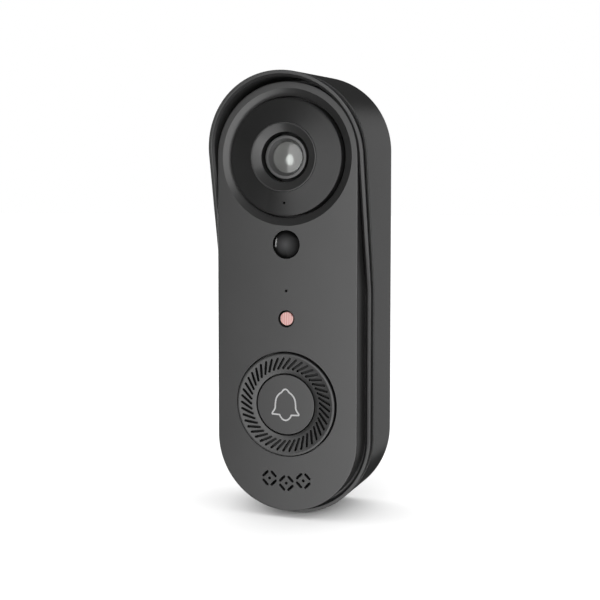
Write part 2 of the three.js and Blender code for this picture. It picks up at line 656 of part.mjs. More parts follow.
CASE_SCREWS.forEach(([x, z], i) => {
  add(`case_screw_${i + 1}`, screw(2.6, 2.3, 1.2, 18.8).translate([x, -0.3, z]), steel);
});
add('door_screw', screw(2.4, 0.6, 1.2, 7).translate([0, POCKET_FLOOR - 0.1, DOOR.screwZ]), steel);
add('lock_screw', screw(2.6, 2, 1.25, 21).rotate([-90, 0, 0]).translate([0, LOCK_Y, -72.4]), steel);

// ---- Charging socket, its board and the rubber cover that folds down ----
add('charge_board', block(-7.5, 7.5, -11.6, -10.4, -66.4, -56), board);

function chargeSocket() {
  const { y, half, t, low, high } = SOCKET;
  const shell = tile(-half, half, low, high, 0.1, y - t / 2, y + t / 2);
  const room = block(-half + 0.35, half - 0.35, y - t / 2 + 0.35, y + t / 2 - 0.35, low - 1, high - 1.2);
  const tongue = block(-3.3, 3.3, y - 0.35, y + 0.35, low + 0.8, high - 1);
  return join(cut(shell, room), tongue);
}

add('charge_socket', chargeSocket(), steel);

function socketCover() {
  const band = cut(
    plug([caseLoop(CASE_R, COVER.front), caseLoop(CASE_R, COVER.back)]),
    plug([caseLoop(COVER.inner, COVER.front - 1), caseLoop(COVER.inner, COVER.back + 1)]),
  );
  return band.intersect(block(-COVER.half, COVER.half, -20, -5, -75, -60));
}

add('socket_cover', socketCover(), rubber);

// ---- Reset key under the bracket and its switch on the back of the camera board ----
add('reset_key', turned([
  [0, -3.5], [2, -3.5], [2, -6], [3, -6], [3, -6.6], [1.2, -6.6], [1.2, -9.9], [0, -9.9],
], 0, RESET_Z, SMALL_ROUND), rubber);
add('reset_switch', block(-2.2, 2.2, -12.4, -10.6, RESET_Z - 2.2, RESET_Z + 2.2), steel);

export default doorbell;
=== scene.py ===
import math

import bpy
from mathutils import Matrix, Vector


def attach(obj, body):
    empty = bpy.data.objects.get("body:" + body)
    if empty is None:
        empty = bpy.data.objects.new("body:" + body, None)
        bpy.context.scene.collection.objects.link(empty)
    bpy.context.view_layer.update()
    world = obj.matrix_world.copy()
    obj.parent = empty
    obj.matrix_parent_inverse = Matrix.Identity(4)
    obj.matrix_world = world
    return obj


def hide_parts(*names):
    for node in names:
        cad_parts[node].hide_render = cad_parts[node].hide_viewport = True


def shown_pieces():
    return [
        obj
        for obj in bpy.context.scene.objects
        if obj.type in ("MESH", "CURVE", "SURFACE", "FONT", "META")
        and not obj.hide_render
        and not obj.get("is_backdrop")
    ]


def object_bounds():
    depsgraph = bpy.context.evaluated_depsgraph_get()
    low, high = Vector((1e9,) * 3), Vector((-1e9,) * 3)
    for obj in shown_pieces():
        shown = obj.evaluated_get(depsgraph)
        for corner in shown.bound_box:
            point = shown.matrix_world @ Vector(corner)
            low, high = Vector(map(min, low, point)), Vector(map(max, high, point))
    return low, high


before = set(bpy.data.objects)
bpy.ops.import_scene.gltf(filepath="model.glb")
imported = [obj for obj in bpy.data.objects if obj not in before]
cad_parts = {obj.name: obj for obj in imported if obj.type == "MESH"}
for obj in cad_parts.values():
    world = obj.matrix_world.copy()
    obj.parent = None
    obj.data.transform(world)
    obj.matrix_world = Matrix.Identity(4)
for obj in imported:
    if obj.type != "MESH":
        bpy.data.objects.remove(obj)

cad_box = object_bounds()
mm = 0.001


# ---- Wall bracket ----
# A pill-shaped plate moulded in black plastic, screwed flat to the wall through its four slots.
# Four hooks on its front carry the housing, and a bored lug near the foot takes the locking screw.
def select_only(piece):
    bpy.ops.object.select_all(action="DESELECT")
    piece.select_set(True)
    bpy.context.view_layer.objects.active = piece


def settle(piece):
    """Writes a piece's place and turn into its mesh."""
    select_only(piece)
    bpy.ops.object.transform_apply(location=True, rotation=True, scale=True)


def pick(piece, kind, test):
    """Goes into edit mode with only the vertices, edges or faces that pass the test selected."""
    select_only(piece)
    bpy.ops.object.mode_set(mode="EDIT")
    bpy.ops.mesh.select_mode(type=kind)
    bpy.ops.mesh.select_all(action="DESELECT")
    bpy.ops.object.mode_set(mode="OBJECT")
    mesh = piece.data
    for part in {"VERT": mesh.vertices, "EDGE": mesh.edges, "FACE": mesh.polygons}[kind]:
        part.select = test(part)
    bpy.ops.object.mode_set(mode="EDIT")


def softened(profile, bits=5):
    """Points of a profile in which a corner's third number is the radius that rounds it off."""
    points = []
    for i, corner in enumerate(profile):
        here = Vector(corner[:2])
        if len(corner) < 3:
            points.append(here)
            continue
        back = (Vector(profile[i - 1][:2]) - here).normalized()
        ahead = (Vector(profile[(i + 1) % len(profile)][:2]) - here).normalized()
        half = back.angle(ahead) / 2
        middle = here + (back + ahead).normalized() * corner[2] / math.sin(half)
        start = here + back * corner[2] / math.tan(half) - middle
        end = here + ahead * corner[2] / math.tan(half) - middle
        turn = start.angle(end)
        for k in range(bits + 1):
            share = k / bits
            swung = start * math.sin((1 - share) * turn) + end * math.sin(share * turn)
            points.append(middle + swung / math.sin(turn))
    return points


def turned(name, profile, x=0.0, z=0.0, steps=96, bits=5):
    """A piece turned about a line along Y. The profile gives (radius, depth) in mm, with a third
    number where a corner is rounded. It starts and ends on the axis, or closes on itself."""
    points = softened(profile, bits)
    bpy.ops.object.select_all(action="DESELECT")
    bpy.ops.mesh.primitive_plane_add(size=mm)
    piece = bpy.context.object
    piece.name = name
    bpy.ops.object.mode_set(mode="EDIT")
    bpy.ops.mesh.merge(type="CENTER")
    bpy.ops.mesh.select_mode(type="VERT")
    bpy.ops.mesh.select_all(action="SELECT")
    bpy.ops.transform.translate(value=(points[0].x * mm, points[0].y * mm, 0))
    closing = [points[0]] if points[0].x > 0 else []
    for here, after in zip(points, points[1:] + closing):
        step = (after - here) * mm
        bpy.ops.mesh.extrude_vertices_move(TRANSFORM_OT_translate={"value": (step.x, step.y, 0)})
    bpy.ops.mesh.select_all(action="SELECT")
    bpy.ops.mesh.spin(steps=steps, angle=2 * math.pi, center=(0, 0, 0), axis=(0, 1, 0))
    bpy.ops.mesh.select_all(action="SELECT")
    bpy.ops.mesh.remove_doubles(threshold=0.001 * mm)
    bpy.ops.mesh.normals_make_consistent(inside=False)
    bpy.ops.transform.translate(value=(x * mm, 0, z * mm))
    bpy.ops.object.mode_set(mode="OBJECT")
    return piece


def pill(name, profile, low, high, steps=128, bits=5):
    """A turned piece pulled out into a pill: its upper half raised and its lower half lowered."""
    piece = turned(name, profile, steps=steps, bits=bits)
    pick(piece, "VERT", lambda v: True)
    bpy.ops.transform.rotate(value=math.pi / steps, orient_axis="Y", center_override=(0, 0, 0))
    bpy.ops.object.mode_set(mode="OBJECT")
    for end, above in ((high, True), (low, False)):
        pick(piece, "VERT", lambda v: (v.co.z > 0) == above)
        bpy.ops.transform.translate(value=(0, 0, end * mm))
        bpy.ops.object.mode_set(mode="OBJECT")
    return piece


def bevel(piece, width, test=lambda e: True, segments=3):
    """Rounds off the edges that pass the test."""
    pick(piece, "EDGE", test)
    bpy.ops.mesh.bevel(offset=width * mm, segments=segments, profile=0.5, affect="EDGES", clamp_overlap=True)
    bpy.ops.object.mode_set(mode="OBJECT")


def block(low, high, edge=0.0, corner=0.0):
    """A box between two corners. Its four edges along Y take the corner radius, the rest the edge."""
    bpy.ops.object.select_all(action="DESELECT")
    middle = [(a + b) / 2 * mm for a, b in zip(low, high)]
    size = [abs(b - a) * mm for a, b in zip(low, high)]
    bpy.ops.mesh.primitive_cube_add(size=1, location=middle, scale=size)
    piece = bpy.context.object
    settle(piece)
    if corner:
        at = [v.co.copy() for v in piece.data.vertices]
        bevel(piece, corner, lambda e: abs((at[e.vertices[0]] - at[e.vertices[1]]).normalized().y) > 0.9, 8)
        front, back = min(low[1], high[1]) * mm, max(low[1], high[1]) * mm
        at = [v.co.copy() for v in piece.data.vertices]
        if edge:
            bevel(piece, edge, lambda e: any(
                all(abs(at[v].y - side) < 1e-7 for v in e.vertices) for side in (front, back)
            ))
    elif edge:
        bevel(piece, edge)
    return piece


def carve(piece, *cutters, operation="DIFFERENCE"):
    """Cuts the cutters out of the piece, or joins them to it. The cutters are used up."""
    for cutter in cutters:
        select_only(piece)
        cut = piece.modifiers.new("cut", "BOOLEAN")
        cut.operation = operation
        cut.solver = "EXACT"
        cut.object = cutter
        bpy.ops.object.modifier_apply(modifier=cut.name)
        bpy.data.objects.remove(cutter)


def bar(radius, front, back, x=0.0, z=0.0, steps=48):
    """A round bar along Y."""
    return turned("bar", [(0, front), (radius, front), (radius, back), (0, back)], x, z, steps)


def upright(radius, low, high, x, y, steps=48):
    """A round bar along Z."""
    piece = bar(radius, -high, -low, steps=steps)
    piece.rotation_euler = (-math.pi / 2, 0, 0)
    piece.location = (x * mm, y * mm, 0)
    settle(piece)
    return piece


def slot(radius, length, front, back, x, z, angle=0.0, steps=24):
    """A round-ended bar along Y. Its long side runs along X, turned by the angle seen from the front."""
    piece = bar(radius, front, back, steps=steps)
    for side in (-1, 1):
        pick(piece, "VERT", lambda v: v.co.x * side > 1e-8)
        bpy.ops.transform.translate(value=(side * (length / 2 - radius) * mm, 0, 0))
        bpy.ops.object.mode_set(mode="OBJECT")
    piece.rotation_euler = (0, -angle, 0)
    piece.location = (x * mm, 0, z * mm)
    settle(piece)
    return piece


def made(piece, body, slot_name, material, *nodes, name=None, angle=32):
    """Smooths the rounds and keeps the flats flat, then puts the piece on its body in place of CAD nodes."""
    select_only(piece)
    bpy.ops.object.shade_smooth_by_angle(angle=math.radians(angle))
    weigh = piece.modifiers.new("weigh", "WEIGHTED_NORMAL")
    weigh.keep_sharp = True
    bpy.ops.object.modifier_apply(modifier=weigh.name)
    if name:
        piece.name = name
    piece.data.materials.clear()
    piece.data.materials.append(material)
    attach(piece, body)
    if nodes:
        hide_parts(*nodes)
    return piece


def new_finish(name, roughness=0.5, metallic=0.0):
    """A node material: its nodes, links, shader, and the place on the object to hang patterns on."""
    finish = bpy.data.materials.new(name)
    finish.use_nodes = True
    nodes, links = finish.node_tree.nodes, finish.node_tree.links
    shader = nodes["Principled BSDF"]
    shader.inputs["Roughness"].default_value = roughness
    shader.inputs["Metallic"].default_value = metallic
    return finish, nodes, links, shader, nodes.new("ShaderNodeTexCoord").outputs["Object"]


def lumps(nodes, links, place, period, detail=3.0):
    """Noise whose lumps are about one period, in mm, across."""
    noise = nodes.new("ShaderNodeTexNoise")
    noise.inputs["Scale"].default_value = 1 / (period * mm)
    noise.inputs["Detail"].default_value = detail
    links.new(place, noise.inputs["Vector"])
    return noise.outputs["Fac"]


def tones(nodes, links, shader, value, dark, light, low=0.3, high=0.7):
    """Colours the surface from dark to light as a value goes from low to high."""
    ramp = nodes.new("ShaderNodeValToRGB")
    for element, position, colour in zip(ramp.color_ramp.elements, (low, high), (dark, light)):
        element.position = position
        element.color = (*colour, 1)
    links.new(value, ramp.inputs["Fac"])
    links.new(ramp.outputs["Color"], shader.inputs["Base Color"])


def spread(nodes, links, shader, value, low, high):
    """Makes the surface smoother or rougher, from low to high, with a noise value."""
    span = nodes.new("ShaderNodeMapRange")
    span.inputs["From Min"].default_value = 0.3
    span.inputs["From Max"].default_value = 0.7
    span.inputs["To Min"].default_value = low
    span.inputs["To Max"].default_value = high
    links.new(value, span.inputs["Value"])
    links.new(span.outputs["Result"], shader.inputs["Roughness"])


def relief(nodes, links, shader, value, depth, strength=1.0):
    """Raises the surface by a depth in mm where the value is high."""
    bump = nodes.new("ShaderNodeBump")
    bump.inputs["Strength"].default_value = strength
    bump.inputs["Distance"].default_value = depth * mm
    links.new(value, bump.inputs["Height"])
    links.new(bump.outputs["Normal"], shader.inputs["Normal"])


def moulded(name, dark, light, rough=(0.42, 0.52), grain=0.45, depth=0.01):
    """Moulded plastic: slow drifts between two greys and a spark-eroded grain, also in its gloss."""
    finish, nodes, links, shader, place = new_finish(name)
    drift = lumps(nodes, links, place, 16)
    tones(nodes, links, shader, drift, (dark,) * 3, (light,) * 3)
    fine = lumps(nodes, links, place, grain, 4)
    spread(nodes, links, shader, fine, *rough)
    relief(nodes, links, shader, fine, depth)
    return finish


black_plastic = moulded("black_plastic", 0.006, 0.009, (0.5, 0.6))

bracket_r, bracket_end, bracket_front = 20.4, 37.6, -2.8
bracket = pill(
    "wall_bracket_plate",
    [(0, bracket_front), (bracket_r, bracket_front, 0.5), (bracket_r, 0, 0.4), (0, 0)],
    -bracket_end, bracket_end,
)
hook_heights, hook_x, hook_half, hook_tip = (26, -53), 8.5, 2.5, -7.2
for height in hook_heights:
    for side in (-1, 1):
        left, right = side * hook_x - hook_half, side * hook_x + hook_half
        stem = block((left, bracket_front + 0.6, height), (right, hook_tip, height + 2), 0.25)
        lip = block((left, -6, height + 0.6), (right, hook_tip, height + 5), 0.25)
        carve(stem, lip, operation="UNION")
        carve(bracket, stem, operation="UNION")
lug_half, lug_low, lug_high, lug_front = 3.5, -56, -50, -6.4
lock_y = -3.4
lug = block((-lug_half, -1, lug_low), (lug_half, lug_front, lug_high), 0.4)
carve(bracket, lug, operation="UNION")
carve(bracket, upright(1.6, -60, -44, 0, lock_y, 32))
for x, z, angle in ((0, 44, math.pi / 2), (0, -33, math.pi / 2), (-12, 4, 0), (12, 4, 0)):
    carve(bracket, slot(3.6, 13.2, -4, -2.1, x, z, angle), slot(1.95, 9.9, -4, 1, x, z, angle))
made(bracket, "bracket", "black_plastic", black_plastic, "wall_bracket")

# ---- Rear shell ----
# The deep back half of the case, moulded in dark grey plastic with a grained skin. Its back has the
# pocket for the bracket, the battery opening, hook slots and screw wells; its top leans out as a hood.
case_plastic = moulded("case_plastic", 0.032, 0.036, (0.31, 0.36), 0.4, 0.0015)

case_r, case_low, case_high = 26.3, -46.2, 46.4
hood_tip, case_draft = -40.95, 1.6 / 40.95
bend_z, bend_half = 2.9, 2.5
back_inside, bore_r = -5.7, 24.3
shell_front, shell_lean = -21.5, 0.2
lap_y, lap_r = -20, 25.5


def lean(piece, front, slope):
    """Leans what stands in front of a depth forward, above a soft bend half way up the case."""
    for step in range(-2, 3):
        pick(piece, "FACE", lambda f: True)
        height = (bend_z + step * bend_half / 2) * mm
        bpy.ops.mesh.bisect(plane_co=(0, 0, height), plane_no=(0, 0, 1))
        bpy.ops.object.mode_set(mode="OBJECT")
    low, high = (bend_z - bend_half) * mm, (bend_z + bend_half) * mm
    for v in piece.data.vertices:
        if v.co.y < front * mm and v.co.z > low:
            rise = v.co.z - bend_z * mm if v.co.z > high else (v.co.z - low) ** 2 / (2 * (high - low))
            v.co.y -= slope * rise


shell = pill(
    "rear_shell_case",
    [
        (0, back_inside), (bore_r, back_inside, 1), (bore_r, lap_y), (lap_r, lap_y), (lap_r, shell_front),
        (case_r, shell_front, 0.25), (case_r, 0, 0.9), (0, 0),
    ],
    case_low, case_high,
)
lean(shell, shell_front + 0.6, shell_lean)
for v in shell.data.vertices:
    reach = Vector((v.co.x, v.co.z - case_high * mm)).length
    if v.co.z > case_high * mm and reach > (lap_r + 0.05) * mm:
        v.co.z += case_draft * (v.co.y - hood_tip * mm)

pocket_r, pocket_low, pocket_floor = bracket_r + 0.5, -42, -3.2
pocket = pill(
    "pocket", [(0, 1), (pocket_r, 1), (pocket_r, pocket_floor, 0.4), (0, pocket_floor)],
    pocket_low, bracket_end,
)
carve(shell, pocket)
at = [v.co.copy() for v in shell.data.vertices]
bevel(shell, 0.35, lambda e: all(abs(at[v].y) < 1e-6 and abs(at[v].x) < 21.2 * mm for v in e.vertices)
      and (at[e.vertices[0]] - at[e.vertices[1]]).length > 1e-6
      and all(abs(at[v].z) < (bracket_end + pocket_r + 5) * mm for v in e.vertices)
      and all(abs(at[v].x) > 20.5 * mm or abs(at[v].z) > 36 * mm for v in e.vertices))

case_screws = ((17, 57.9), (-17, 57.9), (15, -61), (-15, -61))
door_screw_z, camera_z, reset_z = 25.5, 45.57, 48
for x, z in case_screws:
    carve(shell, bar(3.4, -12, back_inside + 1, x, z), operation="UNION")
    screw_well = [(0, -13), (1.6, -13), (1.6, -3), (2.9, -3), (2.9, -0.25), (3.2, 1), (0, 1)]
    carve(shell, turned("well", screw_well, x, z))
carve(shell, bar(2.9, -11, back_inside + 1, 0, door_screw_z), operation="UNION")
carve(shell, bar(1.6, -12, 0, 0, door_screw_z))
camera_post = 9.3
for x in (-camera_post, camera_post):
    for rise in (-camera_post, camera_post):
        carve(shell, bar(1.6, -12.4, back_inside + 1, x, camera_z + rise, 24), operation="UNION")
for height in hook_heights:
    for side in (-1, 1):
        left, right = side * hook_x - hook_half - 0.3, side * hook_x + hook_half + 0.3
        carve(shell, block((left, -6.5, height - 4.2), (right, 0, height + 2.3), 0, 0.5))
carve(shell, block((-lug_half - 0.4, -6.5, lug_low - 4.4), (lug_half + 0.4, 0, lug_high + 0.4), 0, 0.5))
carve(shell, upright(1.6, -75, -60, 0, lock_y), upright(2.9, -75, -70, 0, lock_y))
door_x, door_low, door_high, door_tab, door_tab_high = 20.1, -48.4, 20.2, 4.5, 29
rabbet = block((-door_x - 0.35, -5, door_low - 0.35), (door_x + 0.35, 0, door_high + 0.35), 0, 3)
tab_rabbet = block((-door_tab - 0.35, -5, 0), (door_tab + 0.35, 0, door_tab_high + 0.35), 0, 2)
carve(shell, rabbet, tab_rabbet, block((-18.9, -7, -47), (18.9, 0, 18.8), 0, 1))
carve(shell, block((-7.5, -17.2, -80), (7.5, -10.1, -66), 0.5))
carve(shell, bar(2.3, -7, 0, 0, reset_z))
made(shell, "housing", "case_plastic", case_plastic, "rear_shell")

# ---- Seam gasket ----
# A soft black rubber ring pressed into the lap between the rear shell and the hooded frame, which
# shut it in on both sides.
rubber = moulded("rubber", 0.008, 0.013, (0.7, 0.82), 0.8, 0.006)
gasket = pill(
    "seam_gasket_ring",
    [(24.55, -21.25, 0.25), (25.2, -21.25, 0.2), (25.2, -20.3, 0.2), (24.55, -20.3, 0.25)],
    case_low, case_high, bits=3,
)
made(gasket, "housing", "rubber", rubber, "seam_gasket")

# ---- Hooded frame ----
# The moulded ring round the plate. Its thin lip leans out above the bend to shade the camera, a deep
# groove behind the lip parts it from the shell, and four bosses inside take the case screws.
rim_front, rim_lean, rim_lip = -25.5, 0.2214, 0.6
neck_r, shelf_y, frame_back = 25.2, -23.9, -19.5
rim_bore, shelf_r, step_r, step_y = 24.45, 22.3, 23.9, lap_y - 1.55
hood = pill(
    "visor_frame_ring",
    [
        (case_r, rim_front, 0.25), (25.2, rim_front, 0.25), (rim_bore, rim_front + 0.75, 0.15),
        (rim_bore, shelf_y),
        (shelf_r, shelf_y, 0.2), (shelf_r, frame_back, 0.2), (step_r, frame_back), (step_r, step_y),
        (neck_r, step_y, 0.1), (neck_r, rim_front + rim_lip, 0.1), (case_r, rim_front + rim_lip, 0.15),
    ],
    case_low, case_high,
)
lean(hood, shelf_y - 0.3, rim_lean)
for x, z in case_screws:
    boss = turned("boss", [(0, -12.3), (2.8, -12.3, 0.3), (2.8, -22.5, 0.3), (0, -22.5)], x, z, 48)
    carve(hood, boss, operation="UNION")
    carve(hood, turned("hole", [(0, -12), (1.8, -12), (1.5, -12.8), (1.5, -20.5), (0, -20.5)], x, z, 48))
made(hood, "housing", "case_plastic", case_plastic, "visor_frame")

# ---- Front plate ----
# A deep cap moulded in dark grey satin plastic. It has a sloping dish round the camera, a well for the
# bell button, round holes for the sensors and three little rosettes of slots for the speaker.
plate_plastic = moulded("plate_plastic", 0.034, 0.038, (0.29, 0.33), 0.35, 0.0012)

face, plate_back, plate_r, plate_end = -33.3, -24.2, 24.1, 45.9
plate_inside, plate_bore = face + 2, plate_r - 1.9
dish_r, dish_floor, disc_bore = 22.1, -31.86, 19.6
button_z, well_r, well_floor = -34.69, 17.3, -29.9
motion_z, motion_r, mic_z, light_z = 17.42, 4.65, 2.37, -6.71
light_r, pinhole_r, status_drop = 2.78, 0.45, 14.7

plate = pill(
    "front_plate_cap",
    [
        (0, face), (plate_r, face, 0.45), (plate_r, plate_back, 0.15), (plate_bore, plate_back),
        (plate_bore, plate_inside, 0.5), (0, plate_inside),
    ],
    -plate_end, plate_end,
)
carve(
    plate, bar(22.15, plate_inside - 0.5, -28.3, 0, camera_z, 128),
    bar(18.8, plate_inside - 0.5, -28.6, 0, button_z, 128),
    operation="UNION",
)
dish = turned(
    "dish",
    [
        (0, face - 1), (dish_r + (dish_r - disc_bore) / (dish_floor - face), face - 1),
        (disc_bore, dish_floor),
        (disc_bore, -27), (0, -27),
    ],
    0, camera_z, 160,
)
well = turned(
    "well",
    [(0, face - 1), (well_r, face - 1), (well_r, well_floor), (12.2, well_floor), (12.2, -27), (0, -27)],
    0, button_z, 160,
)
carve(plate, dish, well)
for radius, z in ((motion_r, motion_z), (light_r, light_z), (pinhole_r, mic_z)):
    carve(plate, bar(radius, face - 1, -30, 0, z))


def round_edge(piece, radius, depth, x, z, width, segments=4):
    """Rounds off a circular edge of a given radius that lies across a depth."""
    at = [v.co.copy() for v in piece.data.vertices]

    def on_edge(edge):
        ends = [at[v] for v in edge.vertices]
        return all(
            abs(p.y - depth * mm) < 0.01 * mm
            and abs(math.hypot(p.x - x * mm, p.z - z * mm) - radius * mm) < 0.02 * mm
            for p in ends
        )

    bevel(piece, width, on_edge, segments)


round_edge(plate, dish_r, face, 0, camera_z, 0.35)
round_edge(plate, disc_bore, dish_floor, 0, camera_z, 0.12)
round_edge(plate, well_r, face, 0, button_z, 0.3)
round_edge(plate, motion_r, face, 0, motion_z, 0.2)
round_edge(plate, light_r, face, 0, light_z, 0.15)
slots_z, rosette_x, rosette_rise = -60.82, 5.88, 1.25
slot_r, slot_length, slot_reach = 0.45, 2.8, 2.04
for x, rise in ((-rosette_x, rosette_rise), (0, 0), (rosette_x, rosette_rise)):
    carve(plate, bar(0.5, face - 1, -30, x, slots_z + rise, 24))
    for quarter in range(4):
        angle = math.pi / 4 + quarter * math.pi / 2
        carve(plate, slot(
            slot_r, slot_length, face - 1, -30, x + slot_reach * math.cos(angle),
            slots_z + rise + slot_reach * math.sin(angle), angle + math.pi / 2, 16,
        ))
made(plate, "housing", "plate_plastic", plate_plastic, "front_plate")

# ---- Camera cover and lens ----
# A gloss black cover disc with a moulded cone at its middle round the lens barrel. Three ground glass
# lenses, a spacer and an iris are stacked in the threaded barrel, which screws into the lens holder.
cover_black = moulded("cover_black", 0.023, 0.027, (0.29, 0.32), 0.3, 0.0006)
cover_black.node_tree.nodes["Principled BSDF"].inputs["Specular IOR Level"].default_value = 0.24
cover = turned(
    "camera_cover",
    [
        (11.18, -36.05, 0.06), (18.2, -34.3), (19, -34, 0.4), (19, -28), (21.2, -28, 0.2), (21.2, -26.8, 0.2),
        (17.8, -26.8), (17.8, -32.4, 0.4), (11.18, -33.6),
    ],
    0, camera_z, 192,
)
carve(cover, bar(pinhole_r, -37, -27, 0, camera_z - status_drop, 32))
made(cover, "housing", "gloss_black", cover_black, "camera_cover_disc")

trim_black = moulded("trim_black", 0.040, 0.044, (0.29, 0.33), 0.3, 0.001)
cone = turned(
    "lens_trim_cone_ring",
    [
        (8.1, -34.4, 0.1), (10.6, -36), (10.75, -36.25, 0.1), (11.12, -36.25, 0.2), (11.12, -33.2),
        (9.4, -33.2),
        (9.4, -30.5), (8.1, -30.5),
    ],
    0, camera_z, 128,
)
made(cone, "housing", "black_plastic", trim_black, "lens_trim_cone")

barrel_threads = []
for turn in range(9):
    start = -27.6 + turn * 1.0
    barrel_threads += [(5.75, start), (6, start + 0.4), (6, start + 0.6), (5.75, start + 1.0)]
barrel = turned(
    "lens_barrel_tube",
    [
        (5.05, -31.9), (5.05, -32.1), (5.9, -33.55), (6.1, -33.7), (7, -33.7, 0.2), (7, -28, 0.2),
        (6, -28, 0.2),
        *barrel_threads[:-1], (5.75, -18), (4.5, -18), (4.5, -25.7), (5.6, -25.7), (5.6, -31.9),
    ],
    0, camera_z, 128, bits=3,
)
# The barrel's grey is its own lighter tone, raised further to make up for the shade deep inside the cone:
# partly painted light.
barrel_lit_grey = moulded("barrel_lit_grey", 0.075, 0.085, (0.3, 0.36), 0.3, 0.001)
made(barrel, "housing", "black_plastic", barrel_lit_grey, "lens_barrel")


def glass(name, tint, roughness=0.03, reflection_share=0.0):
    """Coated optical glass with a faint ripple from polishing. Its opaque grey share is a painted reflection.
    """
    finish, nodes, links, shader, place = new_finish(name, roughness)
    ripple = lumps(nodes, links, place, 3, 1)
    dark = tuple(c * 0.9 for c in tint)
    tones(nodes, links, shader, ripple, dark, tint)
    spread(nodes, links, shader, ripple, roughness, roughness * 1.3)
    shader.inputs["IOR"].default_value = 1.4
    shader.inputs["Transmission Weight"].default_value = 1 - reflection_share
    shader.inputs["Coat Weight"].default_value = 0.4
    shader.inputs["Coat Roughness"].default_value = 0.09
    return finish


def arc(radius, apex, edge, steps=10):
    """Points on a shallow arc from the axis at the apex out to a radius."""
    sag = edge - apex
    curve = (radius ** 2 + sag ** 2) / (2 * sag)
    sweep = math.asin(radius / abs(curve))
    return [
        (abs(curve) * math.sin(sweep * k / steps), apex + curve * (1 - math.cos(sweep * k / steps)))
        for k in range(steps + 1)
    ]


# Three quarters of the glass is opaque grey: a painted reflection of the front light, not a clouded glass.
lens_glass = glass("lens_glass", (0.20, 0.20, 0.195), 0.10, 0.75)
front_lens = turned(
    "front_lens_glass", [*arc(5.3, -32.2, -31.5), (5.3, -30.7), (0, -30.7)], 0, camera_z, 96,
)
made(front_lens, "housing", "lens_glass", lens_glass, "front_lens")
spacer = turned(
    "lens_spacer_ring", [(4.1, -30.4, 0.1), (5.3, -30.4, 0.1), (5.3, -29.4, 0.1), (4.1, -29.4, 0.1)], 0,
    camera_z, 64,
)
made(spacer, "housing", "black_plastic", black_plastic, "lens_spacer")
middle = turned("middle_lens_glass", [*arc(5.3, -29.1, -28.4), (5.3, -26.9), (0, -26.9)], 0, camera_z, 64)
made(middle, "housing", "lens_glass", lens_glass, "middle_lens")
iris = turned(
    "lens_iris_ring", [(1.6, -26.4), (2.1, -26.6), (5.3, -26.6), (5.3, -26), (1.6, -26)], 0, camera_z, 64,
)
made(iris, "housing", "black_plastic", black_plastic, "lens_iris")
rear = turned("rear_lens_glass", [*arc(4.2, -25.4, -24.8), (4.2, -23.3), (0, -23.3)], 0, camera_z, 64)
made(rear, "housing", "lens_glass", lens_glass, "rear_lens")

# ---- Motion sensor, microphone hole and light sensor ----
# A gloss black dome lens covers the motion sensor. The light sensor is a small pink ceramic disc
# with a winding track on its face, held in a black tube behind its hole.
dome_black, nodes, links, shader, place = new_finish("dome_black", 0.12)
# The dome's colour is a faint grey at its middle that fades to near black towards its rim: a painted glow.
glow_centre = nodes.new("ShaderNodeMapping")
glow_centre.inputs["Location"].default_value = (0, 34 * mm, -motion_z * mm)
reach = nodes.new("ShaderNodeVectorMath")
reach.operation = "LENGTH"
links.new(place, glow_centre.inputs["Vector"])
links.new(glow_centre.outputs["Vector"], reach.inputs[0])
tones(
    nodes, links, shader, reach.outputs["Value"], (0.05, 0.05, 0.051), (0.003, 0.003, 0.003), 0.0003, 0.0038,
)
spread(nodes, links, shader, lumps(nodes, links, place, 0.6), 0.10, 0.16)
shader.inputs["Specular IOR Level"].default_value = 0.03
dome = turned(
    "pir_dome_lens",
    [
        *arc(4.05, -34, -33.1), (4.35, -32.9, 0.1), (4.35, -31), (5.05, -31, 0.1), (5.05, -30.2),
        (3.7, -30.2),
        (3.7, -32.1, 0.3), (0, -32.9),
    ],
    0, motion_z, 96,
)
made(dome, "housing", "gloss_black", dome_black, "pir_dome")

sensor_pink, nodes, links, shader, place = new_finish("sensor_pink", 0.4)
shift = nodes.new("ShaderNodeMapping")
shift.inputs["Location"].default_value = (0, 0, -light_z * mm)
links.new(place, shift.inputs["Vector"])
track = nodes.new("ShaderNodeTexWave")
track.wave_type = "BANDS"
track.bands_direction = "X"
track.inputs["Scale"].default_value = 1 / (2.4 * mm)
track.inputs["Distortion"].default_value = 3
track.inputs["Detail"].default_value = 1
track.inputs["Detail Scale"].default_value = 0.4
links.new(shift.outputs["Vector"], track.inputs["Vector"])
tones(nodes, links, shader, track.outputs["Fac"], (0.68, 0.33, 0.30), (0.78, 0.50, 0.47), 0.35, 0.65)
relief(nodes, links, shader, track.outputs["Fac"], 0.02)
light_cell = turned(
    "light_sensor_cell", [(0, -32.9), (2.17, -32.9, 0.15), (2.17, -31.4), (0, -31.4)], 0, light_z, 64,
)
made(light_cell, "housing", "sensor_pink", sensor_pink, "light_sensor")
light_tube = turned(
    "light_sensor_tube", [(0, -31.1), (2.45, -31.1, 0.2), (2.45, -27.7), (0, -27.7)], 0, light_z, 64,
)
made(light_tube, "housing", "black_plastic", black_plastic, "light_sensor_holder")

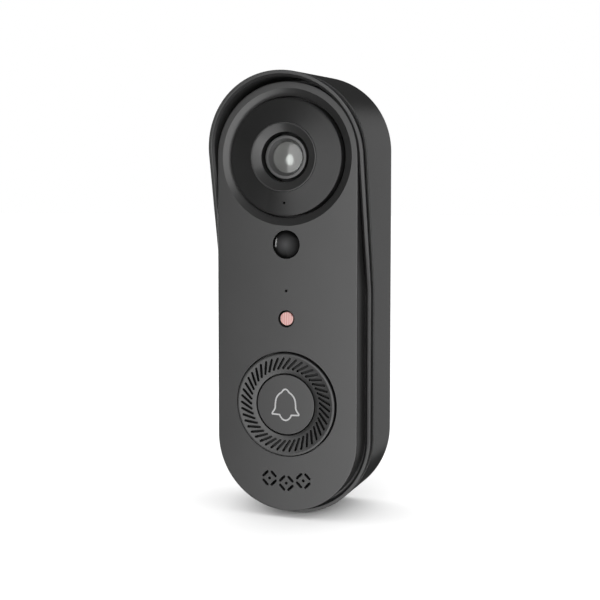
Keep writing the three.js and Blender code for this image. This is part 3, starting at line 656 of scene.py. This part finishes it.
# ---- Bell button ----
# A fixed ring set in the plate's well, its band cut with slanting grooves for the fingertip to find,
# and a flat cap in the middle that presses in. A bell outline is printed on the cap in silver ink.
ring_r, ring_bore = 16.87, 10.15
band = turned(
    "button_ring_band",
    [
        (ring_bore, -33.95, 0.25), (11.2, -34.1), (15.9, -34.5), (16.4, -34.62), (ring_r, -34.45, 0.3),
        (ring_r, -30.2), (15.4, -30.2), (15.4, -32.4), (11.9, -32.4), (11.9, -30.2), (ring_bore, -30.2),
    ],
    0, button_z, 180,
)
groove_count, groove_middle, groove_slant = 45, 13.5, math.radians(36)
for number in range(groove_count):
    round_to = 2 * math.pi * number / groove_count
    groove = slot(
        0.44, 4.75, -36, -32.9, groove_middle * math.cos(round_to),
        button_z + groove_middle * math.sin(round_to),
        round_to - groove_slant, 12,
    )
    if number:
        select_only(grooves)
        groove.select_set(True)
        bpy.ops.object.join()
    else:
        grooves = groove
carve(band, grooves)
# The band's grey darkens to near black with depth in the grooves, and its gloss drops there too: painted
# shade.
ring_plastic, nodes, links, shader, place = new_finish("ring_plastic")
axes = nodes.new("ShaderNodeSeparateXYZ")
links.new(place, axes.inputs["Vector"])
groove_shade = nodes.new("ShaderNodeMapRange")
for end, value in (("From Min", -34.0 * mm), ("From Max", -33.7 * mm), ("To Min", 0), ("To Max", 1)):
    groove_shade.inputs[end].default_value = value
links.new(axes.outputs["Y"], groove_shade.inputs["Value"])
tones(nodes, links, shader, groove_shade.outputs["Result"], (0.036, 0.036, 0.036), (0.012, 0.012, 0.012), 0, 1)
spread(nodes, links, shader, lumps(nodes, links, place, 0.35, 4), 0.29, 0.33)
gloss = nodes.new("ShaderNodeMapRange")
gloss.inputs["To Min"].default_value = 0.5
gloss.inputs["To Max"].default_value = 0.15
links.new(groove_shade.outputs["Result"], gloss.inputs["Value"])
links.new(gloss.outputs["Result"], shader.inputs["Specular IOR Level"])
made(band, "housing", "plate_plastic", ring_plastic, "button_ring", angle=40)

cap_r, cap_front = 9.85, -34.05
cap = turned(
    "bell_button_cap",
    [
        (0, cap_front), (cap_r, cap_front, 0.25), (cap_r, -29.9), (11.6, -29.9), (11.6, -29), (8.6, -29),
        (8.6, -31.9, 0.3), (2, -31.9, 0.3), (2, -31, 0.1), (0, -31),
    ],
    0, button_z, 128,
)
made(cap, "button", "plate_plastic", plate_plastic, "bell_button")

silver_ink, nodes, links, shader, place = new_finish("silver_ink", 0.5)
ink = lumps(nodes, links, place, 0.25, 2)
tones(nodes, links, shader, ink, (0.48, 0.48, 0.48), (0.60, 0.60, 0.60))
spread(nodes, links, shader, ink, 0.42, 0.6)
bell_middle, ink_width = button_z + 0.05, 0.5
bell_half = [
    (0.55, 5.1), (1.0, 4.75), (1.5, 4.1), (2.3, 3.55), (3.0, 2.75), (3.45, 1.9), (3.65, 1.0), (3.75, 0.0),
    (3.8, -1.2), (4.1, -1.9), (4.75, -2.75), (4.9, -3.2), (4.65, -3.6), (2.2, -3.7), (1.9, -4.3), (1.3, -5.0),
    (0.6, -5.4),
]
outline = [(0, 5.25), *bell_half, (0, -5.5), *((-x, z) for x, z in reversed(bell_half))]
bpy.ops.object.select_all(action="DESELECT")
bpy.ops.mesh.primitive_plane_add(size=mm, rotation=(math.pi / 2, 0, 0))
bell = bpy.context.object
settle(bell)
bpy.ops.object.mode_set(mode="EDIT")
bpy.ops.mesh.merge(type="CENTER")
bpy.ops.mesh.select_mode(type="VERT")
bpy.ops.mesh.select_all(action="SELECT")
bpy.ops.transform.translate(value=(0, (cap_front - 0.03) * mm, (bell_middle + outline[0][1]) * mm))
for here, after in zip(outline, outline[1:]):
    step = ((after[0] - here[0]) * mm, 0, (after[1] - here[1]) * mm)
    bpy.ops.mesh.extrude_vertices_move(TRANSFORM_OT_translate={"value": step})
bpy.ops.mesh.select_all(action="SELECT")
bpy.ops.mesh.edge_face_add()
bpy.ops.mesh.inset(thickness=ink_width * mm)
bpy.ops.mesh.delete(type="FACE")
bpy.ops.mesh.select_all(action="SELECT")
bpy.ops.mesh.extrude_region_move(TRANSFORM_OT_translate={"value": (0, 0.05 * mm, 0)})
bpy.ops.mesh.select_all(action="SELECT")
bpy.ops.mesh.normals_make_consistent(inside=False)
bpy.ops.object.mode_set(mode="OBJECT")
made(bell, "button", "plate_plastic", silver_ink, name="bell_outline_print")

# ---- Camera holder, board and night lights ----
# A black moulded holder keeps the barrel over the image sensor on its little board. The ring board
# round it carries five infrared lamps behind the cover and the clear pipe of the status light.
holder = bar(8.4, -27.5, -14.2, 0, camera_z, 96)
foot = block((-8.8, -17.4, camera_z - 8.8), (8.8, -14.2, camera_z + 8.8), 0.3, 1.2)
carve(holder, foot, operation="UNION")
for turn in range(12):
    angle = turn * math.pi / 6
    rib = (8.5 * math.cos(angle), camera_z + 8.5 * math.sin(angle))
    carve(holder, bar(0.5, -28, -18.5, *rib, 16))
barrel_room = block((-6.6, -16.6, camera_z - 6.6), (6.6, -14, camera_z + 6.6))
carve(holder, bar(6.35, -28, -16, 0, camera_z, 96), barrel_room)
made(holder, "housing", "black_plastic", black_plastic, "lens_holder")


def board_finish(name, mask, track, period):
    """Solder mask over copper: square-cornered tracks that show through as a lighter, raised tone."""
    finish, nodes, links, shader, place = new_finish(name, 0.35)
    tracks = nodes.new("ShaderNodeTexVoronoi")
    tracks.distance = "CHEBYCHEV"
    tracks.inputs["Scale"].default_value = 1 / (period * mm)
    links.new(place, tracks.inputs["Vector"])
    rings = nodes.new("ShaderNodeMath")
    rings.operation = "PINGPONG"
    rings.inputs[1].default_value = 0.12
    links.new(tracks.outputs["Distance"], rings.inputs[0])
    tones(nodes, links, shader, rings.outputs["Value"], mask, track, 0.05, 0.07)
    spread(nodes, links, shader, lumps(nodes, links, place, 1.5), 0.28, 0.42)
    relief(nodes, links, shader, rings.outputs["Value"], 0.03)
    return finish


circuit_green = board_finish("circuit_board", (0.008, 0.06, 0.03), (0.018, 0.115, 0.055), 4.5)


def metal(name, dark, light, rough, grain, depth=0.003):
    """Plated or rolled sheet metal with a fine grain and slow changes of tone."""
    finish, nodes, links, shader, place = new_finish(name, metallic=1.0)
    tones(nodes, links, shader, lumps(nodes, links, place, 3), dark, light)
    fine = lumps(nodes, links, place, grain, 4)
    spread(nodes, links, shader, fine, *rough)
    relief(nodes, links, shader, fine, depth)
    return finish


tinned = metal("tinned_sheet", (0.52, 0.52, 0.50), (0.66, 0.66, 0.64), (0.26, 0.40), 0.4)
brass_pads = metal("gold_pads", (0.62, 0.43, 0.18), (0.78, 0.57, 0.27), (0.25, 0.35), 0.3)


def board_hole(piece, radius, front, back, *places):
    for x, z in places:
        carve(piece, bar(radius, front, back, x, z, 24))


camera_half, camera_front, camera_hole = 11, -13.9, 9.6
small_board = block(
    (-camera_half, camera_front, camera_z - camera_half),
    (camera_half, camera_front + 1.2, camera_z + camera_half),
    0.1, 1,
)
camera_corners = [(x * camera_hole, camera_z + z * camera_hole) for x in (-1, 1) for z in (-1, 1)]
board_hole(small_board, 0.9, -15, -12, *camera_corners)
made(small_board, "housing", "circuit_board", circuit_green, "camera_board")

sensor_black, nodes, links, shader, place = new_finish("sensor_black", 0.2)
cells = nodes.new("ShaderNodeTexBrick")
cells.offset = 0
cells.inputs["Color1"].default_value = (0.012, 0.016, 0.022, 1)
cells.inputs["Color2"].default_value = (0.02, 0.016, 0.024, 1)
cells.inputs["Mortar"].default_value = (0.045, 0.045, 0.05, 1)
cells.inputs["Scale"].default_value = 1 / (1.2 * mm)
cells.inputs["Mortar Size"].default_value = 0.012
links.new(place, cells.inputs["Vector"])
links.new(cells.outputs["Color"], shader.inputs["Base Color"])
spread(nodes, links, shader, lumps(nodes, links, place, 0.4), 0.3, 0.45)
sensor = block((-4.5, -15.3, camera_z - 4.5), (4.5, camera_front - 0.3, camera_z + 4.5), 0.08, 0.3)
window = block((-3.6, -15.6, camera_z - 3.1), (3.6, -15.2, camera_z + 3.1), 0.06, 0.2)
carve(sensor, window, operation="UNION")
made(sensor, "housing", "chip", sensor_black, "image_sensor")

ring_board = turned(
    "night_light_ring", [(9, -27.6, 0.1), (17.4, -27.6, 0.1), (17.4, -26.4, 0.1), (9, -26.4, 0.1)], 0,
    camera_z, 128,
)
lamp_circle = 13.6


def round_camera(turns):
    """Places on the lamps' circle, in sixths of a turn from its foot."""
    angles = [turn * math.pi / 3 for turn in turns]
    return [(lamp_circle * math.sin(a), camera_z - lamp_circle * math.cos(a)) for a in angles]


lamp_places = round_camera(range(1, 6))
between = round_camera(turn + 0.5 for turn in range(6))
board_hole(ring_board, 0.8, -29, -25, *between)
made(ring_board, "housing", "circuit_board", circuit_green, "ir_led_board")

lamp = turned(
    "infrared_lamp",
    [*arc(1.35, -31.8, -31.2, 6), (1.6, -30.6, 0.1), (1.6, -29), (1.9, -29, 0.1), (1.9, -27.9), (0, -27.9)],
    0, 0, 40,
)


def copied(piece, name, shift):
    """Another of the same piece, with a mesh of its own, moved by a shift in mm."""
    select_only(piece)
    bpy.ops.object.duplicate(linked=False)
    twin = bpy.context.object
    twin.name = name
    twin.location = Vector(shift) * mm
    settle(twin)
    return twin


for number, (x, z) in enumerate(lamp_places, 1):
    twin = copied(lamp, f"infrared_lamp_{number}", (x, 0, z))
    made(twin, "housing", "gloss_black", cover_black, f"ir_led_{number}")
bpy.data.objects.remove(lamp)

pipe = turned(
    "status_light_pipe", [(0, -32.4), (0.9, -32.4, 0.15), (1.4, -29.4), (1.4, -27.9, 0.1), (0, -27.9)],
    0, camera_z - status_drop, 40,
)
made(pipe, "housing", "lens_glass", lens_glass, "status_light")

# ---- Main board and its parts ----
# A glass-fibre board behind the plate, with pressed tin cans over the processor and the radio, the
# motion sensor's metal can, the microphone in its rubber boot, and the switch the bell button presses.
board_front, board_back, on_board = -27.4, -26.2, -27.7
main_board = block((-19, board_front, -46), (19, board_back, 23.5), 0.1, 3)
board_hole(main_board, 1.3, -28, -25, (-16, 20.5), (16, 20.5), (-16, -43), (16, -43))
made(main_board, "housing", "circuit_board", circuit_green, "main_board")

chip_black, nodes, links, shader, place = new_finish("chip_black", 0.5)
grit = lumps(nodes, links, place, 0.2, 4)
tones(nodes, links, shader, grit, (0.012, 0.012, 0.013), (0.022, 0.022, 0.023))
spread(nodes, links, shader, grit, 0.45, 0.6)
relief(nodes, links, shader, grit, 0.01)
parts = block((-15.8, -28.6, 8), (-15, on_board + 0.2, 8.8))
for x, z, width, height, tall in (
    (-11, -21, 5, 4, 0.9), (11.5, 15.5, 6, 4, 1), (-3, -3, 2, 1.2, 0.8), (-3, 0, 2, 1.2, 0.8),
    (3, -3, 1.2, 2, 0.7),
    (0, 6, 3, 1.6, 0.8), (12, -19, 4, 4, 0.9), (15, -24, 1.6, 0.9, 0.6), (-15, -27, 1.6, 0.9, 0.5),
    (-8, -38, 6, 3, 0.5), (8, -38, 3, 3, 0.5), (3, -40, 1, 1.8, 0.4), (-15, -20, 1, 1.8, 0.6),
):
    part = block(
        (x - width / 2, on_board - tall, z - height / 2), (x + width / 2, on_board + 0.2, z + height / 2),
        0.08,
    )
    select_only(parts)
    part.select_set(True)
    bpy.ops.object.join()
made(parts, "housing", "chip", chip_black, name="board_chips")

can = block((6.5, -29.7, -13), (18, on_board, 9), 0.3, 0.6)
for z in (-9, -5.6, -2.2, 1.2, 4.6):
    carve(can, *(bar(0.45, -31, -29.5, x, z, 16) for x in (9, 12.25, 15.5)))
made(can, "housing", "steel", tinned, "processor_shield")
radio = block((-18, -29.5, -13), (-6.5, on_board, 3), 0.25, 0.5)
carve(radio, block((-17, -30.5, -12), (-7.5, -29.4, 2), 0, 0.4))
made(radio, "housing", "steel", tinned, "wifi_module")
aerial = block((-18, -28.3, 6), (-7.5, on_board, 21), 0.08, 0.4)
for step in range(5):
    low = 7.4 + step * 2.6
    reach = (-16.8, -9.6) if step % 2 else (-15.9, -8.7)
    carve(aerial, block((reach[0], -29, low), (reach[1], -28.15, low + 1.2)))
made(aerial, "housing", "chip", chip_black, "wifi_antenna")

heat_can = turned(
    "motion_sensor_can",
    [
        (0, -29.75), (2.2, -29.75, 0.1), (2.2, -29.9, 0.1), (3.6, -29.9, 0.35), (3.6, -28.3),
        (4, -28.3, 0.15),
        (4, on_board), (0, on_board),
    ],
    0, motion_z, 64,
)
made(heat_can, "housing", "steel", tinned, "pir_sensor")
boot = turned(
    "microphone_boot", [(0.5, -31, 0.1), (3, -31, 0.3), (3, -29.2, 0.3), (0.5, -29.2, 0.1)], 0, mic_z, 48,
)
made(boot, "housing", "rubber", rubber, "mic_boot")
ear = turned(
    "microphone_can",
    [(0, -28.8), (0.4, -28.8), (0.4, -28.9), (2, -28.9, 0.25), (2, on_board), (0, on_board)],
    0, mic_z, 48,
)
made(ear, "housing", "steel", tinned, "microphone")
plunger = turned(
    "switch_plunger_pin", [(0, -30.7), (1.7, -30.7, 0.4), (1.7, -28.9, 0.15), (0, -28.9)], 0, button_z, 48,
)
made(plunger, "plunger", "gloss_black", cover_black, "switch_plunger")
switch = block((-3, -29.9, button_z - 3), (3, on_board, button_z + 3), 0.2, 0.4)
carve(switch, bar(2, -31, -28, 0, button_z, 48))
board_hole(switch, 0.35, -31, -29.7, *((x * 2.3, button_z + z * 2.3) for x in (-1, 1) for z in (-1, 1)))
made(switch, "housing", "steel", tinned, "bell_switch")

# ---- Speaker ----
# A round speaker with a pressed plastic cone and a magnet cup, pushed up against the plate behind the
# three rosettes of slots. A loop of soft foam seals it to the plate.
speaker = turned(
    "speaker_unit",
    [
        (0, -27.2), (3.4, -27.5), (4, -27.6, 0.3), (5.4, -27.35), (5.6, -27.45), (7, -27.2), (8.2, -27, 0.2),
        (8.8, -28, 0.2), (10, -28, 0.2), (10, -26.5, 0.2), (5, -26.1), (5, -24.4, 0.3), (0, -24.4),
    ],
    0, -57, 96,
)
board_hole(
    speaker, 0.9, -27.2, -25,
    *((7.3 * math.cos(a), -57 + 7.3 * math.sin(a)) for a in (0, math.pi / 2, math.pi)),
)
made(speaker, "housing", "black_plastic", black_plastic, "speaker")
foam_z = slots_z + 0.62
foam = block((-10.4, -31, foam_z - 5.2), (10.4, -28.3, foam_z + 5.2), 0.3, 5.1)
carve(foam, block((-9.2, -32, foam_z - 3.8), (9.2, -27, foam_z + 3.8), 0, 3.7))
made(foam, "housing", "rubber", rubber, "speaker_gasket")

# ---- Batteries ----
# Two wrapped cells lie side by side in an open black tray. Cone springs press them up against plated
# contacts, and a bent strip under the springs joins the two cells in a row.
tray_x, tray_front, tray_back, tray_low, tray_high, tray_wall = 20.6, -25.8, -7.6, -51.6, 21.6, 1.4
tray = block((-tray_x, tray_front, tray_low), (tray_x, tray_back, tray_high), 0.3, 0.8)
room = block(
    (-tray_x + tray_wall, tray_front + 1.1, tray_low + tray_wall),
    (tray_x - tray_wall, tray_back + 1, tray_high - tray_wall),
)
carve(tray, room)
made(tray, "housing", "black_plastic", black_plastic, "battery_tray")

cell_wrap, nodes, links, shader, place = new_finish("cell_wrap", 0.35)
film = lumps(nodes, links, place, 9)
tones(nodes, links, shader, film, (0.012, 0.09, 0.13), (0.02, 0.12, 0.165))
creases = lumps(nodes, links, place, 1.8, 5)
spread(nodes, links, shader, creases, 0.28, 0.42)
relief(nodes, links, shader, creases, 0.04)
cell_r, cell_low, cell_high, cell_y, cell_x, cell_tip = 9.15, -46.6, 17.6, -15.2, 9.5, 0.8
cell = turned(
    "battery_cell",
    [
        (0, -cell_high - cell_tip), (2.8, -cell_high - cell_tip, 0.3), (2.8, -cell_high), (7.6, -cell_high),
        (cell_r, -cell_high, 0.5), (cell_r, -cell_high + 1.6, 0.3), (cell_r - 0.15, -cell_high + 2),
        (cell_r, -cell_high + 2.4, 0.3), (cell_r, -cell_low, 0.6), (6.6, -cell_low), (6.4, -cell_low - 0.2),
        (0, -cell_low - 0.2),
    ],
    0, 0, 96,
)
cell.rotation_euler = (-math.pi / 2, 0, 0)
settle(cell)

coil_low, coil_high, coil_turns, coil_wide, coil_top, wire_r = -48.85, -47.25, 2.5, 5.5, 2.5, 0.3
coil_steps, wire_sides = 110, 10
bpy.ops.object.select_all(action="DESELECT")
bpy.ops.mesh.primitive_circle_add(
    vertices=wire_sides, radius=wire_r * mm, location=(coil_wide * mm, 0, 0), rotation=(math.pi / 2, 0, 0),
)
coil = bpy.context.object
settle(coil)
pick(coil, "VERT", lambda v: True)
bpy.ops.mesh.spin(steps=coil_steps, angle=coil_turns * 2 * math.pi, center=(0, 0, 0), axis=(0, 0, 1))
bpy.ops.object.mode_set(mode="OBJECT")
ends = (range(wire_sides), range(wire_sides * coil_steps, wire_sides * (coil_steps + 1)))
for end in ends:
    pick(coil, "VERT", lambda v: v.index in end)
    bpy.ops.mesh.edge_face_add()
    bpy.ops.object.mode_set(mode="OBJECT")
for v in coil.data.vertices:
    share = (v.index // wire_sides) / coil_steps
    out = math.hypot(v.co.x, v.co.y)
    inward = 1 - (coil_wide - coil_top) * mm * share / out
    v.co = (v.co.x * inward, v.co.y * inward, v.co.z + (coil_low + (coil_high - coil_low) * share) * mm)
pick(coil, "VERT", lambda v: True)
bpy.ops.mesh.normals_make_consistent(inside=False)
bpy.ops.object.mode_set(mode="OBJECT")

contact_low, contact_high = cell_high + cell_tip + 0.3, cell_high + cell_tip + 0.8
contact = block((-5, cell_y - 5, contact_low + 0.2), (5, cell_y + 5, contact_high), 0.08)
carve(contact, upright(2.2, contact_low, contact_high - 0.1, 0, cell_y, 48), operation="UNION")
for number, side in ((1, -1), (2, 1)):
    twin = copied(cell, f"battery_cell_body_{number}", (side * cell_x, cell_y, 0))
    made(twin, "housing", "cell_wrap", cell_wrap, f"battery_cell_{number}")
    twin = copied(coil, f"battery_spring_coil_{number}", (side * cell_x, cell_y, 0))
    made(twin, "housing", "steel", tinned, f"battery_spring_{number}")
    twin = copied(contact, f"battery_contact_plate_{number}", (side * cell_x, 0, 0))
    made(twin, "housing", "steel", brass_pads, f"battery_contact_{number}")
for spent in (cell, coil, contact):
    bpy.data.objects.remove(spent)
strip = block((-16, cell_y - 5, cell_low - 3.3), (16, cell_y + 5, cell_low - 2.9), 0.08)
carve(strip, upright(1.5, cell_low - 5, cell_low - 2, 0, cell_y, 32))
made(strip, "housing", "steel", tinned, "battery_link")

# ---- Battery door and screws ----
# A thin moulded door closes the battery opening in the back and is held at its tab by one small screw.
# Four pan-head screws clamp shell to frame from behind, and one from below locks the housing on.
door_front, door_back = -4.7, -3.2
door = block((-door_x, door_front, door_low), (door_x, door_back, door_high), 0.2, 3)
tab = block((-door_tab, door_front, door_high - 5), (door_tab, door_back, door_tab_high), 0.2, 2)
carve(door, tab, operation="UNION")
for step in range(5):
    grip = slot(0.5, 22 - 2 * step, -3.5, -2.5, 0, door_low + 6 + step * 2.2, 0, 16)
    carve(door, grip)
carve(door, bar(1.6, 0, -6, 0, door_screw_z), bar(2.7, 0, -4.2, 0, door_screw_z))
made(door, "housing", "case_plastic", case_plastic, "battery_door")

zinc = metal("zinc_plate", (0.42, 0.43, 0.44), (0.60, 0.61, 0.62), (0.28, 0.42), 0.25)


def screw(name, head_r, head_t, shank_r, length, pitch=1.0):
    """A pan head with a cross recess, its top at zero depth and its ridged shank running to the front."""
    thread = []
    at = -head_t - pitch
    while at > -length + 1.2:
        thread += [(shank_r * 0.8, at), (shank_r * 0.8, at - pitch * 0.35), (shank_r, at - pitch * 0.6)]
        at -= pitch
    piece = turned(
        name,
        [
            (0, 0), (head_r * 0.72, 0, head_r * 0.15), (head_r, -head_t * 0.45, head_t * 0.2),
            (head_r, -head_t, 0.08),
            (shank_r, -head_t), *thread, (shank_r * 0.8, -length + 0.8), (0.4, -length), (0, -length),
        ],
        0, 0, 40, 3,
    )
    arm, depth = head_r * 0.55, -head_t * 0.45
    carve(
        piece, block((-0.3, 1, -arm), (0.3, depth, arm), 0.05),
        block((-arm, 1, -0.3), (arm, depth, 0.3), 0.05),
    )
    return piece


case_screw = screw("case_screw", 2.6, 2.3, 1.2, 18.8)
for number, (x, z) in enumerate(case_screws, 1):
    twin = copied(case_screw, f"case_screw_body_{number}", (x, -0.3, z))
    made(twin, "housing", "steel", zinc, f"case_screw_{number}")
bpy.data.objects.remove(case_screw)
door_screw = screw("door_screw_body", 2.4, 0.6, 1.2, 7, 0.8)
made(copied(door_screw, "door_screw_pan", (0, -3.3, door_screw_z)), "housing", "steel", zinc, "door_screw")
bpy.data.objects.remove(door_screw)
lock_screw = screw("lock_screw_body", 2.6, 2, 1.25, 21)
lock_screw.rotation_euler = (-math.pi / 2, 0, 0)
lock_screw.location = (0, lock_y * mm, -72.4 * mm)
settle(lock_screw)
made(lock_screw, "housing", "steel", zinc, "lock_screw")

# ---- Charging socket and cover ----
# A drawn steel socket on its own small board faces down through the foot of the case. A strip of black
# rubber, curved like the case, folds over it.
charge_board = block((-7.5, -11.6, -66.4), (7.5, -10.4, -56), 0.1, 0.8)
board_hole(charge_board, 0.8, -13, -9, (-5.8, -58), (5.8, -58))
made(charge_board, "housing", "circuit_board", circuit_green, "charge_board")
socket_y, socket_half, socket_t, socket_low, socket_high = -13.6, 4.47, 3.26, -69.9, -62.6


def rounded_tube(half, thick, low, high, corner):
    """A flat-sided bar along Z with its four long edges rounded."""
    piece = block((-half, socket_y - thick / 2, low), (half, socket_y + thick / 2, high))
    at = [v.co.copy() for v in piece.data.vertices]
    bevel(piece, corner, lambda e: abs((at[e.vertices[0]] - at[e.vertices[1]]).normalized().z) > 0.9, 8)
    return piece


socket = rounded_tube(socket_half, socket_t, socket_low, socket_high, 1.5)
carve(socket, rounded_tube(socket_half - 0.35, socket_t - 0.7, socket_low - 1, socket_high - 1.2, 1.2))
carve(socket, block(
    (-3.3, socket_y - 0.35, socket_low + 0.8), (3.3, socket_y + 0.35, socket_high - 1), 0.08,
), operation="UNION")
made(socket, "housing", "steel", tinned, "charge_socket")

cover_front, cover_back, cover_half = -16.4, -10.4, 7.1
flap = pill(
    "socket_cover_flap",
    [(24.6, cover_front, 0.3), (case_r, cover_front, 0.3), (case_r, cover_back, 0.3), (24.6, cover_back, 0.3)],
    case_low, case_high, 192,
)
carve(flap, block((-cover_half, -20, -75), (cover_half, -5, -60)), operation="INTERSECT")
made(flap, "socket_cover", "rubber", rubber, "socket_cover")

# ---- Reset key and switch ----
# A soft rubber key under the bracket, stepped so that it can't fall out, presses a small metal-cased
# switch on the back of the camera board.
key = turned(
    "reset_key_body",
    [
        (0, -3.65), (1.2, -3.65), (1.4, -3.5, 0.15), (2, -3.5, 0.2), (2, -6), (3, -6, 0.1), (3, -6.6, 0.1),
        (1.2, -6.6), (1.2, -9.9, 0.2), (0, -9.9),
    ],
    0, reset_z, 64,
)
made(key, "reset_key", "rubber", rubber, "reset_key")
tact = block((-2.2, -12.4, reset_z - 2.2), (2.2, -11.1, reset_z + 2.2), 0.15, 0.3)
carve(tact, bar(1.1, -11.3, -10.6, 0, reset_z, 40), operation="UNION")
made(tact, "housing", "steel", tinned, "reset_switch")

# ---- Studio ----
# The doorbell stands on a pale floor against white. A large soft light in front, a low one, one at the
# right and two behind shape it, the rear one kept off the floor. Three more are kept to one thing each:
# the overhead light to the floor, an oval one to the front lens, a thin strip to the motion sensor dome.
floor_white, nodes, links, shader, place = new_finish("floor_white", 0.9)
mottle = lumps(nodes, links, place, 400)
tones(nodes, links, shader, mottle, (0.86, 0.86, 0.86), (0.88, 0.88, 0.88))
shader.inputs["Specular IOR Level"].default_value = 0.1
bpy.ops.object.select_all(action="DESELECT")
bpy.ops.mesh.primitive_plane_add(size=12, location=(0, 0, cad_box[0].z))
floor = bpy.context.object
floor.name = "floor"
floor.data.materials.append(floor_white)
floor.visible_glossy = floor.visible_diffuse = False
floor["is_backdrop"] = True

middle_z = 0.005


def soft_light(name, azimuth, elevation, distance, width, height, power, colour=(1, 1, 1)):
    """A rectangular softbox that faces the doorbell from a direction and distance."""
    a, e = math.radians(azimuth), math.radians(elevation)
    aim = Vector((0, -0.02, middle_z))
    away = Vector((math.sin(a) * math.cos(e), -math.cos(a) * math.cos(e), math.sin(e)))
    bpy.ops.object.light_add(type="AREA", location=aim + away * distance)
    lamp = bpy.context.object
    lamp.name = name
    lamp.rotation_euler = away.to_track_quat("Z", "Y").to_euler()
    lamp.data.shape = "RECTANGLE"
    lamp.data.size = width
    lamp.data.size_y = height
    lamp.data.energy = power
    lamp.data.color = colour
    lamp.visible_camera = False
    return lamp


soft_light("front_light", 14, -8, 1.0, 1.37, 1.5, 21)
soft_light("low_light", 0, -58, 0.8, 0.5, 0.5, 1.8)
soft_light("right_light", 80, 0, 1.0, 0.6, 0.8, 1.8)
soft_light("back_light", 156, 0, 1.2, 0.8, 1.0, 1.0)


def only_on(lamp, *pieces):
    """Keeps a lamp's light to the given pieces, as a flag on a stand would."""
    lit = bpy.data.collections.new(lamp.name + "_lit")
    for piece in pieces:
        lit.objects.link(piece)
    lamp.light_linking.receiver_collection = lit


bpy.ops.object.light_add(type="SUN", location=(0, 0, 1))
overhead = bpy.context.object
overhead.name = "overhead_light"
overhead.data.energy = 3.9
overhead.data.angle = math.radians(160)
only_on(overhead, floor)
sparkle = soft_light("lens_light", -15, -0.5, 1.0, 0.26, 0.34, 2.2, (0.94, 1, 0.96))
sparkle.data.shape = "ELLIPSE"
only_on(sparkle, front_lens)
only_on(soft_light("rear_light", 225, -12, 1.2, 1.2, 1.2, 20), *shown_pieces())
only_on(soft_light("left_strip", -64, 4, 0.9, 0.09, 0.4, 13), dome)

world = bpy.data.worlds.new("studio")
bpy.context.scene.world = world
world.use_nodes = True
nodes, links = world.node_tree.nodes, world.node_tree.links
for extra in list(nodes):
    nodes.remove(extra)
ambient, backdrop = nodes.new("ShaderNodeBackground"), nodes.new("ShaderNodeBackground")
ambient.inputs["Color"].default_value = (0.06, 0.06, 0.06, 1)
backdrop.inputs["Color"].default_value = (1, 1, 1, 1)
seen, mix, out = (
    nodes.new("ShaderNodeLightPath"), nodes.new("ShaderNodeMixShader"), nodes.new("ShaderNodeOutputWorld"),
)
links.new(seen.outputs["Is Camera Ray"], mix.inputs["Fac"])
links.new(ambient.outputs["Background"], mix.inputs[1])
links.new(backdrop.outputs["Background"], mix.inputs[2])
links.new(mix.outputs["Shader"], out.inputs["Surface"])

bpy.context.scene.view_settings.view_transform = "Standard"
bpy.ops.object.camera_add(location=(0.12707, -0.37995, 0.03247))
camera = bpy.context.object
target = Vector((0.00476, -0.0333, 0.00928))
camera.rotation_euler = (camera.location - target).to_track_quat("Z", "Y").to_euler()
camera.data.lens = 68.53
camera.data.sensor_width = 36
camera.data.shift_y = -0.05
camera.data.clip_start = 0.01
bpy.context.scene.camera = camera
